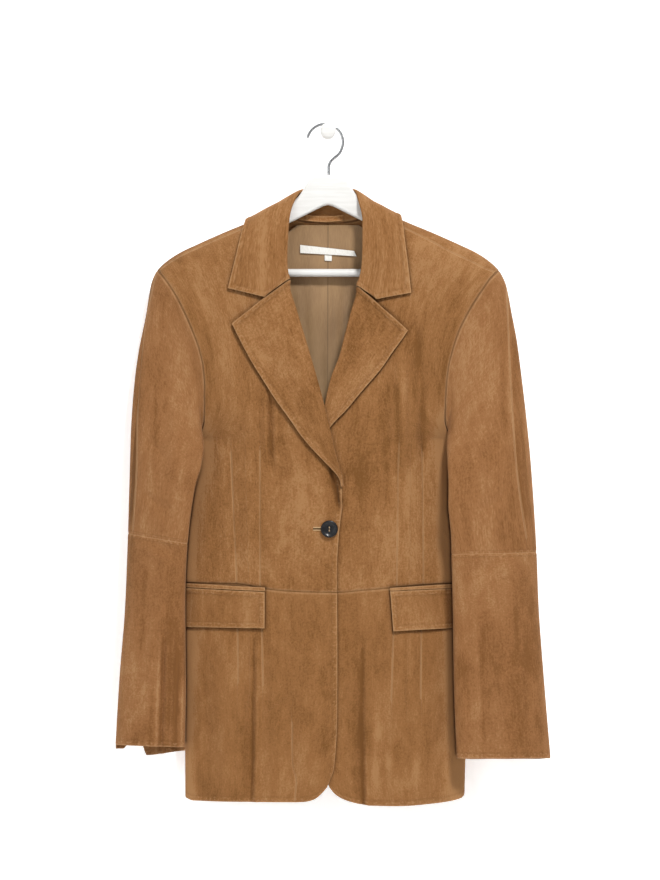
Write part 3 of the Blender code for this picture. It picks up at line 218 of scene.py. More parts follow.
# ---- Collar: three lines from the gorge of one side round the neck to the other ----
# The places count from the centre back, 0, over the top of the shoulder, 2.5, to the gorge, 6.
# The free edge has no fore of its own: it lies on the body, lifted off it.
GORGE = 6
COLLAR_ROLL = {
    RIGHT: table("place x down fore", [
        (0, 0, 73, 10), (1, -24, 74, 12.5), (2, -38, 77, 24), (3, -47, 94, 41), (4, -52, 117, 52),
        (5, -54.2, 165, 59.5), (6, -52.7, 195, 61)]),
    LEFT: table("place x down fore", [
        (0, 0, 73, 10), (1, 24, 74, 12.5), (2, 38, 77, 24), (3, 42, 93, 41), (4, 46.5, 119, 52),
        (5, 45.5, 168, 59.5), (6, 40, 203.5, 61)])}
COLLAR_BELLY = {
    RIGHT: table("place x down fore", [
        (0, 0, 106, 6.5), (1, -44, 102, 8), (2, -68, 96, 16), (2.5, -74, 97, 27),
        (3, -78, 102, 41), (4, -84, 126, 53), (5, -88, 168, 62.5), (6, -84, 215, 63)]),
    LEFT: table("place x down fore", [
        (0, 0, 106, 6.5), (1, 42, 102, 8), (2, 62, 94, 16), (2.5, 66, 94.5, 27), (3, 69, 100, 41),
        (4, 72, 126, 53), (5, 75, 170, 62.5), (6, 66, 219, 63)])}
COLLAR_EDGE = {
    RIGHT: table("place x down lift", [
        (0, 0, 139, 2.8), (1, -60, 136, 2.8), (2, -98, 127, 3.2), (2.5, -104, 118.6, 3.4),
        (3, -108, 127, 3.2), (4, -113, 142, 3.2), (5, -121, 172, 3), (6, -130, 206, 2.8)]),
    LEFT: table("place x down lift", [
        (0, 0, 139, 2.8), (1, 57, 135.5, 2.8), (2, 87, 122, 3.2), (2.5, 92, 113.4, 3.4),
        (3, 95, 122, 3.2), (4, 98.5, 140, 3.2), (5, 103, 173, 3), (6, 108, 212, 2.8)])}
RIDGE_PLACE = 2.5
# Length, in places, over which the free edge passes from the back to the front of the body.
RIDGE_BLEND = 0.4
# The free edge never rises nearer to the top of the shoulder than this.
RIDGE_CLEAR = 0.05
# Near the gorge the fall runs straight to a corner that stands off the notch, then to its edge.
KNEE = 0.42
NOTCH_RISE = 2.2
NOTCH_CLEAR = 1.4
END_BLEND = 0.5
NECK_SEAM = {
    RIGHT: table("place x down fore", [
        (0, 0, 119.3, 14.6), (1, -40, 114.8, 15.8), (2, -55, 95.5, 20.5), (2.5, -57, 95.5, 29),
        (3, -58, 103, 34), (4, -56.5, 124, 43.5), (5, -54.5, 168, 53)]),
    LEFT: table("place x down fore", [
        (0, 0, 119.3, 14.6), (1, 39, 114.8, 15.8), (2, 54, 95.5, 20.5), (2.5, 56, 95.5, 29),
        (3, 56.5, 103, 34), (4, 53, 124, 43.5), (5, 47.5, 168, 53)])}
NOTCH = {RIGHT: (-83, 219.7), LEFT: (63.7, 222.3)}
STAND_PLACE = 4.6
STAND_CLOTH = 1.4

# ---- Lapels: roll line from the gorge down, and the free edge from the point down ----
LAPEL_EDGE = {
    RIGHT: table("x down", [
        (-124.8, 252), (-117, 267.8), (-98.8, 301.6), (-75.4, 339), (-57, 365), (-33.8, 397.8),
        (-13.6, 422), (-2, 434), (5.5, 441.5), (10.5, 447), (13.8, 452), (15.6, 457.5),
        (16.4, 463)]),
    LEFT: table("x down", [
        (103.4, 260.5), (91.8, 278), (70, 309.4), (50.3, 332.8), (25.5, 362.7), (0.5, 390.7),
        (-6, 412), (-10, 440)])}
LAPEL_TOP = {RIGHT: (-52.6, 196.8), LEFT: (40.4, 205.4)}
LAPEL_END = {RIGHT: (17.2, 463), LEFT: (-13.6, 440)}
# Height of the soft roll beside the roll line, as a share of the lapel's width there.
LAPEL_BELLY = {RIGHT: 0.05, LEFT: 0.04}
# Less than 1 draws the roll's crest towards the roll line.
LAPEL_CREST = 0.7

# ---- Pockets: corners of the flaps and welts, from the side across, as x and down ----
FLAP_CORNERS = {
    RIGHT: ((-185.3, 595.6), (-82, 600.2), (-82.2, 647.4), (-186, 646.2)),
    LEFT: ((181.5, 595.4), (80.5, 599.4), (84.5, 651.2), (182, 646.5))}
WELT_CORNERS = {
    RIGHT: ((-185.5, 589.3), (-81.5, 594.4), (-81.5, 599.2), (-185.3, 594.6)),
    LEFT: ((182, 589), (80.3, 594.8), (80.3, 598.6), (182, 594.6))}
FLAP_LIFT = 0.6

# ---- Lining, loop and labels ----
LINING_WIDTH = table("down out", [
    (121.5, 40), (140, 64), (165, 98), (200, 132), (300, 146), (400, 148), (480, 156), (834, 160)])
# The lining lies close at the neck and hangs a little freer below.
LINING_INSET = SUEDE + 0.6
LINING_EASE = 2.8
LINING_EASE_RUN = 120
LABEL_CORNERS = ((-36.4, 148), (33.8, 156), (37, 163), (-36.4, 158.6))
TAB_CORNERS = ((-4, 161.5), (5, 162.2), (5, 169.2), (-4, 168.5))
LOOP_ENDS = (-29, 20)
LOOP_DOWN = 112.6
LOOP_SAG = 2
LOOP_STRAP = 8
LOOP_CLOTH = 1.2
LOOP_FORE = 17.1
LOOP_SWELL = 1.6

# ---- Button ----
BUTTON_PLACE = (1.7, 518.4)
BUTTON_HEIGHT = 3.4
BUTTON_HOLE_RADIUS = 1.1
BUTTON_HOLE_SPREAD = 2.4
HOLE_LENGTH = 26
HOLE_MIDDLE = (-6.5, 518.2)
HOLE_HEIGHT = 0.8

# ---- Hanger, hook and knob ----
HANGER_FORE = 26.5
HANGER_THICKNESS = 11
HANGER_TOP = table("out down", [
    (0, 57.4), (11, 57.4), (17, 58.6), (23, 62), (28, 68.5), (33, 77.5), (36, 82), (40, 86.8),
    (50, 95.6), (62, 103), (84, 113), (106, 122.3), (134, 133.8), (170, 149.8), (190, 159.6),
    (203, 169)])
HANGER_FOOT = table("out down", [
    (208, 178), (206, 189), (197, 196), (172.8, 196), (172.8, 178.4), (163, 174.6), (110, 149.4),
    (52, 121), (20, 105), (6, 98), (0, 96.6)])
BAR_RADIUS = 5.2
BAR_DOWN = 185
BAR_HALF = 172.4
HOOK_RADIUS = 2
HOOK_BEND = 23.4
HOOK_MIDDLE = (-3.9, 14.3)
HOOK_TIP_ANGLE = 168
HOOK_END_ANGLE = -20
HOOK_NECK = ((16, 27.5), (12.2, 32), (7.2, 36), (2.8, 41), (0.8, 47), (0.8, 52), (0.8, 57))

# ---- Curves read from the tables ----
def smooth(marks, values, at):
    """Read values, each known at its mark, on a smooth curve that never swings past them."""
    slopes = level_slopes(marks, values)
    at = np.clip(at, marks[0], marks[-1])
    i = np.clip(np.searchsorted(marks, at, side="right") - 1, 0, len(marks) - 2)
    width = marks[i + 1] - marks[i]
    t = (at - marks[i]) / width
    start = (1 + 2 * t) * (1 - t) ** 2 * values[i] + t * t * (3 - 2 * t) * values[i + 1]
    return start + width * t * (1 - t) * ((1 - t) * slopes[i] - t * slopes[i + 1])


def level_slopes(marks, values):
    """Slope of the curve at each mark: a mean of its two sides, and none at a peak."""
    width = np.diff(marks)
    rise = np.diff(values) / width
    slopes = np.concatenate([rise[:1], np.zeros(len(rise) - 1), rise[-1:]])
    before, after = rise[:-1], rise[1:]
    same = before * after > 0
    near, far = width[1:] * 2 + width[:-1], width[1:] + width[:-1] * 2
    slopes[1:-1][same] = ((near + far)[same]
                          / (near[same] / before[same] + far[same] / after[same]))
    return slopes


def along(points, share):
    """Places on the smooth curve through points, at shares of its length."""
    points = np.array(points, float)
    steps = np.hypot(*np.diff(points, axis=0).T)
    marks = np.concatenate([[0], np.cumsum(steps)]) / steps.sum()
    return np.stack([smooth(marks, column, share) for column in points.T], axis=-1)


def points_of(rows, *columns):
    return np.stack([rows[column] for column in columns], axis=-1)


def ease(t):
    t = np.clip(t, 0, 1)
    return t * t * (3 - 2 * t)


def quarter_round(t):
    """Height of a quarter circle of radius 1 at a share of its width."""
    return np.sqrt(1 - (1 - np.clip(t, 0, 1)) ** 2)


def bell(away, width):
    """1 on a line, and next to nothing at twice the width from it."""
    return np.exp(-(away / width) ** 2)


def place(x, fore, down):
    """Points of the frame, from x, the distance off the wall and the distance down."""
    x, fore, down = np.broadcast_arrays(x, fore, down)
    return np.stack([x, -fore, -down], axis=-1).astype(float)


# ---- The faces of the body ----
def fold_depth(x, down, folds):
    """How deep some folds are together, each tapered to nothing at its two ends."""
    depth = 0
    for i in range(len(folds["depth"])):
        start = np.array([folds["x_top"][i], folds["down_top"][i]])
        run = np.array([folds["x_end"][i], folds["down_end"][i]]) - start
        share = ((x - start[0]) * run[0] + (down - start[1]) * run[1]) / (run @ run)
        aside = ((x - start[0]) * run[1] - (down - start[1]) * run[0]) / math.hypot(*run)
        taper = ease(4 * share) * ease(4 * (1 - share))
        depth = depth + folds["depth"][i] * taper * bell(aside, folds["width"][i])
    return depth


def body_side(x, down):
    right = smooth(BODY["down"], BODY["right"], down)
    left = smooth(BODY["down"], BODY["left"], down)
    return np.where(x < 0, right, left)


def body_fore(x, down, face):
    """Distance from the wall of the outer face of the front or the back."""
    out = np.abs(x)
    side = body_side(x, down)
    flank = smooth(BODY["down"], BODY["flank"], down)
    middle = smooth(BODY["down"], BODY["front" if face == FRONT else "back"], down)
    level = np.abs(middle - flank) - CROWN[face] * np.minimum(out / side, 1) ** 2 - SIDE_FOLD
    inward = side - out
    slope = 1 - (1 - np.clip(inward / SIDE_SLOPE[face], 0, 1)) ** 2
    swell = SIDE_FOLD * quarter_round(inward / SIDE_FOLD) + level * slope
    folds = FRONT_FOLDS if face == FRONT else BACK_FOLDS
    swell = swell - (fold_depth(x, down, folds) + waves(x, down)) * ease(inward / SIDE_FADE)
    drop = down - smooth(SHOULDER["out"], SHOULDER["down"], out)
    over = quarter_round(drop / OVER_SHOULDER[face])
    return RIDGE_FORE + (flank - RIDGE_FORE + face * swell) * over + face * SEAM / 2


def panel_fore(x, down, side, face):
    """Face of one panel: the two fronts are parted where they lie on each other."""
    fore = body_fore(x, down, face)
    if face == BACK:
        return fore
    near = ease((LAP_START - side * x) / (LAP_START - LAP_FULL))
    over = smooth(LAP_RISE["down"], LAP_RISE["over"], down)
    under = smooth(LAP_RISE["down"], LAP_RISE["under"], down)
    return fore + near * np.where(side == RIGHT, over, -under)


def lifted(x, down, side, face, lift):
    """Points moved out from a panel's face along its normal."""
    step = 0.01
    fore = panel_fore(x, down, side, face)
    outer, inner = panel_fore(x + step, down, side, face), panel_fore(x - step, down, side, face)
    lower, upper = panel_fore(x, down + step, side, face), panel_fore(x, down - step, side, face)
    across = (outer - inner) / (2 * step)
    below = (lower - upper) / (2 * step)
    length = np.sqrt(1 + across ** 2 + below ** 2)
    return place(x - face * lift * across / length, fore + face * lift / length,
                 down - face * lift * below / length)


def face_normals(face_point, across, down):
    step = 1e-4
    a, b = ((np.maximum(at - step, 0), np.minimum(at + step, 1)) for at in (across, down))
    normals = np.cross(face_point(a[1], down) - face_point(a[0], down),
                       face_point(across, b[1]) - face_point(across, b[0]))
    return normals / np.linalg.norm(normals, axis=1, keepdims=True)


def facing_sign(face_point, facing):
    """1 where the raw normals look to the side that facing points to, or else -1."""
    middle = face_normals(face_point, np.array([0.5]), np.array([0.5]))[0]
    return 1 if middle @ np.array(facing, float) > 0 else -1


def stretch(outer, inner, top, bottom, a, b):
    """Places inside four edges, at shares a across and b down (a Coons patch)."""
    corners = [top(0), top(1), bottom(0), bottom(1)]
    a = np.asarray(a)[:, None]
    b = np.asarray(b)[:, None]
    sides = (1 - a) * outer(b[:, 0]) + a * inner(b[:, 0])
    edges = sides + (1 - b) * top(a[:, 0]) + b * bottom(a[:, 0])
    return edges - (1 - b) * ((1 - a) * corners[0] + a * corners[1]) \
        - b * ((1 - a) * corners[2] + a * corners[3])


# ---- Body panels ----
def pair(x, down):
    x, down = np.broadcast_arrays(np.asarray(x, float), np.asarray(down, float))
    return np.stack([x, down], axis=-1)


def armhole(side, face, share):
    points = points_of(ARMHOLE[face], SIDE_NAMES[side], "down")
    place_on = along(points, share)
    return pair(side * place_on[..., 0], place_on[..., 1])


def waist_down(x):
    return smooth(WAIST["x"], WAIST["down"], x)


def round_share(step):
    """Share of the armhole's length at a row, as the sleeve's half ring divides it."""
    return (1 - np.cos(math.pi * np.clip(step / ARMHOLE_ROWS, 0, 1))) / 2


def upper_side(side, face, b):
    """Outer edge of an upper panel: armhole, then side fold down to the waist."""
    row = np.asarray(b) * UPPER_ROWS
    below = np.clip((row - ARMHOLE_ROWS) / (UPPER_ROWS - ARMHOLE_ROWS), 0, 1)
    side_x = side * body_side(side, UNDERARM_DOWN)
    waist = waist_down(side_x) - SEAM / 2
    down = UNDERARM_DOWN + (waist - UNDERARM_DOWN) * below
    on_side = pair(side * body_side(side, down), down)
    on_arm = armhole(side, face, round_share(row))
    return np.where((row < ARMHOLE_ROWS)[..., None], on_arm, on_side)


def upper_rows_down(b, start, end):
    """Heights of the rows at the inner edge: crowded at the top, even below the underarm."""
    row = np.asarray(b) * UPPER_ROWS
    above = start + (UNDERARM_DOWN - start) * np.clip(row / ARMHOLE_ROWS, 0, 1) ** TOP_CROWDING
    share = np.clip((row - ARMHOLE_ROWS) / (UPPER_ROWS - ARMHOLE_ROWS), 0, 1)
    return above + (end - UNDERARM_DOWN) * share


def shoulder_down(x):
    return smooth(SHOULDER["out"], SHOULDER["down"], np.abs(x))


def waist_edge(side, face, inner_x, gap):
    """Edge of a panel along the waist seam, a gap below its line, from the side fold inwards."""
    outer_x = upper_side(side, face, 1.0)[0]

    def edge(a):
        x = outer_x + (inner_x - outer_x) * a
        return pair(x, waist_down(x) + gap)
    return edge


def skirt_side(side, face):
    """Outer edge of a skirt panel, down the side fold."""
    start = waist_down(upper_side(side, face, 1.0)[0]) + SEAM / 2
    hem_side = HEM[side]["down"][0]

    def edge(b):
        down = start + (hem_side - start) * b
        return pair(side * body_side(side, down), down)
    return edge


def front_inner(side, down):
    """Points of the front edge."""
    return pair(smooth(FRONT_EDGE[side]["down"], FRONT_EDGE[side]["x"], down), down)


def front_waist_x(side):
    return front_inner(side, WAIST["down"].max())[0]


def front_upper_place(side, a, b):
    neck_x = FRONT_EDGE[side]["x"][0]
    tip_x = side * SHOULDER["out"][-1]
    end = waist_down(front_waist_x(side)) - SEAM / 2

    def inner(b):
        return front_inner(side, upper_rows_down(b, SHOULDER["down"][0], end))

    def top(a):
        x = tip_x + (neck_x - tip_x) * a
        return pair(x, shoulder_down(x))
    bottom = waist_edge(side, FRONT, front_waist_x(side), -SEAM / 2)
    return stretch(partial(upper_side, side, FRONT), inner, top, bottom, a ** SIDE_CROWDING, b)


def front_skirt_place(side, a, b):
    start = waist_down(front_waist_x(side)) + SEAM / 2

    def inner(b):
        return front_inner(side, start + (FRONT_CORNER_DOWN - start) * b)
    top = waist_edge(side, FRONT, front_waist_x(side), SEAM / 2)
    bottom = partial(along, points_of(HEM[side], "x", "down"))
    return stretch(skirt_side(side, FRONT), inner, top, bottom, a ** SIDE_CROWDING, b)


def back_upper_place(side, a, b):
    tip_x = side * SHOULDER["out"][-1]
    middle_x = side * SEAM / 2
    across = smooth(np.linspace(0, 1, len(BACK_SHARES)), np.array(BACK_SHARES), a)

    def inner(b):
        return pair(middle_x, upper_rows_down(b, BACK_NECK["down"][0], waist_down(0) - SEAM / 2))

    def top(a):
        x = tip_x + (middle_x - tip_x) * a
        out = np.abs(x)
        neckline = smooth(BACK_NECK["out"], BACK_NECK["down"], out)
        return pair(x, np.where(out < BACK_NECK["out"][-1], neckline, shoulder_down(x)))
    bottom = waist_edge(side, BACK, middle_x, -SEAM / 2)
    return stretch(partial(upper_side, side, BACK), inner, top, bottom, across, b)


def back_skirt_place(side, a, b):
    middle_x = side * SEAM / 2
    hem_side = HEM[side]["down"][0]
    outer = skirt_side(side, BACK)
    end_x = outer(1.0)[0]

    def hem_down(x):
        return smooth(BACK_HEM["out"], BACK_HEM["down"], np.abs(x))

    def inner(b):
        start = waist_down(0) + SEAM / 2
        return pair(middle_x, start + (hem_down(0) - start) * b)

    def bottom(a):
        x = end_x + (middle_x - end_x) * a
        return pair(x, hem_down(x) + (hem_side - hem_down(end_x)) * (x / end_x) ** 2)
    top = waist_edge(side, BACK, middle_x, SEAM / 2)
    return stretch(outer, inner, top, bottom, a ** SIDE_CROWDING, b)


# ---- Sleeves ----
def sleeve_point(side, angle, ring):
    """Point of a sleeve: angle 0 is its outer edge, pi its inner edge, below 0 its back."""
    rings = SLEEVE[side]
    across = (1 - np.cos(angle)) / 2
    front = np.sin(angle) >= 0

    def read(column, at=ring):
        return smooth(np.arange(len(rings[column])), rings[column], at)

    def between(column, at=ring):
        """A measure that runs from the outer edge of a ring to its inner edge."""
        outer = read(f"out_{column}", at)
        return outer + (read(f"in_{column}", at) - outer) * across

    arm = np.where(front[..., None], armhole(side, FRONT, across), armhole(side, BACK, across))
    cap = np.where(front, read("cap_front"), read("cap_back"))
    sag = read("lean") * np.maximum(np.sin(angle), 0) * across ** LEAN_POWER
    x = side * (between("x") + cap * (side * arm[..., 0] - between("x", 0)) - sag)
    down = between("down") + cap * (arm[..., 1] - between("down", 0))
    seam_fore = np.where(front, body_fore(arm[..., 0], arm[..., 1], FRONT),
                         body_fore(arm[..., 0], arm[..., 1], BACK))
    swell = np.sign(np.sin(angle)) * np.abs(np.sin(angle)) ** SLEEVE_ROUNDNESS * read("half")
    swell = swell * (1 - fold_depth(x, down, SLEEVE_FOLDS) / SLEEVE_HALF)
    share = read("cap_fore")
    share = np.where(front, share, share + (read("cap_back") - share) * np.sin(angle) ** 2)
    fore = share * seam_fore + (1 - share) * (between("fore") + swell) + LEAN_LIFT * sag
    return place(x, fore, down)


def sleeve_half(side, face, first, last):
    """Faces of one half of a sleeve between two rings: across from its outer to its inner seam."""
    seam_angle = SEAM / SLEEVE_RADIUS
    drop = CUFF_DROP[side]

    def face_point(a, b):
        ring = first + (last - first) * b
        turn = smooth(np.arange(CUFF_RING + 1), SLEEVE[side]["turn"], ring)
        start = np.radians(turn) + face * seam_angle
        end = face * (math.pi - seam_angle)
        angle = start + (end - start) * a
        point = sleeve_point(side, angle, ring)
        if face == BACK and last == CUFF_RING:
            across = (1 - np.cos(angle)) / 2
            point[:, 2] -= smooth(drop["across"], drop["drop"], across) * b ** CUFF_DROP_POWER
        return point
    return face_point


# ---- Collar and lapels ----
def both_sides(tables, column):
    """A column read from the right gorge over the centre back to the left gorge."""
    return np.concatenate([tables[RIGHT][column][:0:-1], tables[LEFT][column]])


def collar_line(tables, at):
    """Points of a line round the neck, at from -GORGE on the right to GORGE on the left."""
    places = both_sides(tables, "place")
    places[:len(tables[RIGHT]["place"]) - 1] *= -1
    x = smooth(places, both_sides(tables, "x"), at)
    down = smooth(places, both_sides(tables, "down"), at)
    return x, down, places


def free_line(tables, at):
    x, down, places = collar_line(tables, at)
    return place(x, smooth(places, both_sides(tables, "fore"), at), down)


def lying_line(tables, at):
    """Edge of the fall, which lies on the body in front, over the shoulder and behind."""
    x, down, places = collar_line(tables, at)
    lift = smooth(places, both_sides(tables, "lift"), at)
    side = np.where(x < 0, RIGHT, LEFT)
    down = np.maximum(down, shoulder_down(x) + RIDGE_CLEAR)
    on_front = lifted(x, down, side, FRONT, lift)
    on_back = lifted(x, down, side, BACK, lift)
    share = ease((np.abs(at) - RIDGE_PLACE) / RIDGE_BLEND + 0.5)[:, None]
    return share * on_front + (1 - share) * on_back


def through_three(first, middle, last, share):
    share = share[:, None]
    return first * (1 - share) * (1 - 2 * share) + middle * 4 * share * (1 - share) \
        + last * share * (2 * share - 1)


def collar_fall_point(a, b):
    at = GORGE * (2 * a - 1)
    roll = free_line(COLLAR_ROLL, at)
    belly = free_line(COLLAR_BELLY, at)
    edge = lying_line(COLLAR_EDGE, at)
    curved = through_three(roll, belly, edge, b)
    corner = np.where((at < 0)[:, None], belly_corner(RIGHT), belly_corner(LEFT))
    share = b[:, None]
    straight = np.where(share < KNEE, roll + (corner - roll) * share / KNEE,
                        corner + (edge - corner) * (share - KNEE) / (1 - KNEE))
    end = ease((np.abs(at) - GORGE) / END_BLEND + 1)[:, None]
    return (1 - end) * curved + end * straight


def belly_corner(side):
    x, down = NOTCH[side]
    above = np.array([down - NOTCH_RISE])
    return lifted(np.array([x]), above, side, FRONT, LAY_ON + SUEDE + NOTCH_CLEAR)[0]


def stand_point(a, b):
    """Throat side of the stand's outer face, from just inside the roll down to the neck seam."""
    at = STAND_PLACE * (2 * a - 1)
    spot = (at / GORGE + 1) / 2
    roll = free_line(COLLAR_ROLL, at)
    outward = face_normals(collar_fall_point, spot, np.zeros_like(spot))
    outward = outward * facing_sign(collar_fall_point, (0, 1, 0))
    top = roll - outward * (SUEDE + LAY_ON)
    seam = free_line(NECK_SEAM, at)
    share = b[:, None]
    return top + (seam - top) * share


def lapel_place(side, a, b):
    edge = FRONT_EDGE[side]
    top_x, top_down = LAPEL_TOP[side]
    free = points_of(LAPEL_EDGE[side], "x", "down")
    end_x, end_down = LAPEL_END[side]

    def inner(b):
        down = top_down + (end_down - top_down) * b
        return pair(smooth(edge["down"], edge["x"], down) + side * SEAM, down)

    def outer(b):
        return along(free, np.asarray(b))

    def top(a):
        share = np.asarray(a, float)[..., None]
        return inner(0.0) + (free[0] - inner(0.0)) * share

    def bottom(a):
        share = np.asarray(a, float)[..., None]
        return inner(1.0) + (free[-1] - inner(1.0)) * share

    return stretch(inner, outer, top, bottom, a, b)


def four_corners(corners, a, b):
    top_outer, top_inner, low_inner, low_outer = (np.array(corner, float) for corner in corners)
    a = a[:, None]
    b = b[:, None]
    top, low = (1 - a) * top_outer + a * top_inner, (1 - a) * low_outer + a * low_inner
    return (1 - b) * top + b * low


def inside_back(x, down, inset):
    """Points inside the hollow, a distance in from the outer face of the back."""
    return lifted(x, down, RIGHT, BACK, -inset)


def lining_inset(down):
    top = LINING_WIDTH["down"][0]
    return LINING_INSET + LINING_EASE * ease((down - top) / LINING_EASE_RUN)


# ---- Finer folds, only on the cloth that is seen ----
FRONT_SLACK = table(FOLD_COLUMNS, [
    (-76, 325, -72, 458, 2.8, 3.6), (-89, 330, -88, 425, 1.7, 4.5), (-82, 330, -80, 440, -1.3, 4),
    (-60, 360, -64, 500, 1.0, 8), (73, 335, 79, 520, 2.4, 8), (91, 262, 95, 455, -1.8, 4.5),
    (100, 280, 101, 470, -1.6, 4), (95.5, 330, 96, 475, 1.4, 3), (107, 232, 125, 350, 3.0, 8),
    (121, 330, 123, 440, 2.2, 5), (112, 300, 114, 440, -1.2, 5), (135, 240, 130, 330, 1.2, 9),
    (-91.5, 640, -95, 960, -3.2, 5), (-98.5, 640, -103, 960, 2.4, 5),
    (50, 650, 52.5, 960, -2.6, 5.5), (43, 680, 44, 960, 2.4, 6), (33, 680, 31, 900, -1.2, 7),
    (1, 418, 15, 500, 3.2, 3.4), (13, 425, 19.5, 505, -2.2, 3), (-108, 690, -116, 900, -1.2, 10),
    (-40, 480, -20, 560, -0.9, 9), (-150, 470, -140, 560, 1.2, 10), (-154, 360, -148, 470, 1.6, 8),
    (142, 450, 150, 570, 1.2, 9), (-160, 650, -158, 840, 1.2, 9), (150, 660, 154, 850, 1.3, 9),
    (-60, 640, -52, 860, 1.2, 9), (-30, 640, -34, 840, -0.9, 9), (20, 640, 17, 860, 1.2, 8),
    (76, 650, 72, 870, 1.5, 8), (98, 700, 104, 870, 1.3, 7), (-106, 560, -60, 620, 0.7, 8),
    (60, 560, 106, 612, 0.7, 8), (-140, 220, -122, 330, -1.4, 11), (-128, 230, -112, 330, 1.4, 10),
    (-172, 190, -152, 250, 1.0, 7), (176, 200, 160, 262, 1.1, 7), (150, 190, 140, 250, -0.9, 8),
    (-30, 700, -90, 760, 0.7, 9), (-112, 480, -118, 580, 0.9, 8)])
BACK_SLACK = table(FOLD_COLUMNS, [
    (-120, 300, -130, 520, 1.8, 11), (128, 330, 122, 520, 1.7, 11), (-20, 380, -30, 580, 1.4, 10),
    (34, 420, 24, 590, 1.5, 9), (-40, 640, -46, 960, 2.2, 9), (36, 650, 44, 960, 2.6, 8),
    (-140, 640, -150, 860, 1.5, 9), (138, 640, 144, 860, 1.4, 10), (-84, 640, -90, 960, -1.6, 9),
    (66, 660, 70, 960, -1.5, 9), (-150, 230, -110, 330, 1.6, 9), (146, 240, 112, 350, 1.3, 10),
    (-30, 160, -60, 240, 1.0, 10), (36, 170, 70, 260, 1.2, 9)])

# Sharp creases: the depth is also how much painted shade lies in them, and painted highlight
# where it is negative.
FRONT_CREASES = table(FOLD_COLUMNS, [
    (-75.4, 325, -73.2, 455, 1.0, 1.7), (-88.6, 338, -88.2, 418, 0.7, 1.5),
    (-81, 330, -80, 425, -0.6, 2.2), (-69, 345, -66, 440, -0.35, 2.4),
    (-127, 400, -126.4, 445, 0.6, 1.6), (-96, 340, -97, 470, 0.3, 3), (-59, 380, -64, 500, 0.3, 4),
    (70, 345, 78, 510, 0.4, 4.5), (121, 288, 123.6, 440, 0.55, 2.2),
    (88, 318, 93.6, 460, 0.6, 1.9), (97, 270, 98, 452, -0.5, 3), (103.5, 300, 104, 450, 0.35, 1.8),
    (83, 330, 84, 470, -0.3, 2.5), (123.4, 405, 123.6, 432, 0.9, 1.5),
    (113, 245, 119, 330, 0.4, 4), (2, 430, 15.2, 497, 1.5, 2.8), (9, 438, 16.2, 495, 0.8, 1.6),
    (24, 440, 22, 500, 0.3, 3), (-10, 546, 12, 541, -0.5, 1.5), (-14, 556, 10, 552, -0.4, 1.7),
    (-6, 566, 10, 565, 0.3, 1.5), (-22, 520, -12, 500, -0.4, 2.0), (-96, 628, -100, 930, 1.0, 1.6),
    (-90.5, 640, -94, 930, -0.5, 2.2), (46, 640, 42, 800, 0.8, 3.0), (42, 740, 48, 960, 1.1, 2.4),
    (50, 640, 47, 800, -0.4, 2.6), (48, 760, 54, 960, -0.7, 2.4), (-107, 690, -112, 880, 0.3, 3),
    (34, 690, 33, 880, 0.3, 3), (-137, 470, -136, 560, 0.3, 3), (-160, 330, -156, 430, 0.3, 3),
    (-97, 655, -98, 700, 0.3, 2), (60, 655, 63, 720, 0.3, 2.4), (-48, 700, -46, 850, 0.2, 3),
    (100, 655, 103, 780, 0.25, 3), (152, 470, 155, 570, 0.4, 3), (-182, 655, -180, 780, 0.35, 3)])
BACK_CREASES = table(FOLD_COLUMNS, [
    (-52, 640, -55, 900, 0.5, 2.2), (47, 640, 51, 900, 0.5, 2.2),
    (-124, 330, -130, 500, 0.35, 2.6), (120, 350, 118, 500, 0.4, 2.4),
    (-24, 400, -30, 560, 0.3, 2.6), (30, 440, 26, 580, 0.3, 2.4), (-92, 650, -95, 850, -0.3, 3),
    (74, 660, 77, 860, -0.3, 3)])
SLEEVE_CREASES = table(FOLD_COLUMNS, [
    (-212.5, 610, -222, 960, 0.6, 1.7), (-193, 640, -202.5, 960, 0.5, 1.7),
    (-186.5, 660, -194, 960, -0.5, 1.6), (-217.5, 620, -227, 960, -0.5, 1.7),
    (-199.5, 640, -209, 960, -0.4, 1.5), (-226, 700, -233, 850, 0.3, 2.5),
    (198, 640, 203, 830, 0.35, 2.4), (191, 650, 195, 820, -0.12, 2.2),
    (226, 250, 228, 400, 0.25, 3), (240, 560, 247, 700, 0.25, 3), (-236, 560, -243, 700, 0.25, 3),
    (-222, 300, -226, 470, 0.25, 3)])
CREASE_DEPTH = 0.9


def waves(x, down):
    """Slack of a millimetre or less between the folds."""
    return (0.45 * np.sin(x / 17 + down / 60) * np.sin(down / 37 + 1.3)
            + 0.3 * np.sin(x / 9.3 - down / 90 + 2) * np.sin(down / 23 + x / 70)
            + 0.2 * np.sin(x / 5.1 + down / 31) * np.sin(down / 13.7 - x / 23))


# ---- Darts: two on each front, across the waist seam, and the facing's edge on the right ----
DARTS = {
    RIGHT: [table("down x", line) for line in (
        [(418, -126.8), (503, -122.9), (584, -119.1), (653, -117.7), (718, -117)],
        [(416, -88.4), (580, -88.4), (653, -85.8), (722, -84.5)],
        [(768, -47), (822, -46.4), (846, -41.6), (872, -43.2)])],
    LEFT: [table("down x", line) for line in (
        [(408, 92.3), (503, 90.4), (588, 89.7), (653, 85.2), (741, 81.9)],
        [(418, 123.1), (588, 124.3), (653, 121.6), (738, 120.9)])]}
# The shoulder seam has slid forwards: how far it lies below the top of the shoulder.
SHOULDER_SEAM = {
    RIGHT: table("out under", [
        (62, 4), (130, 4.5), (200, 4), (223, 2)]),
    LEFT: table("out under", [
        (62, 5), (125, 11), (169, 15), (195, 15), (218, 8), (223, 4)])}
# A drop's share that is distance across the slope of the shoulder.
SHOULDER_SLOPE = 0.85
FAR = 200.0
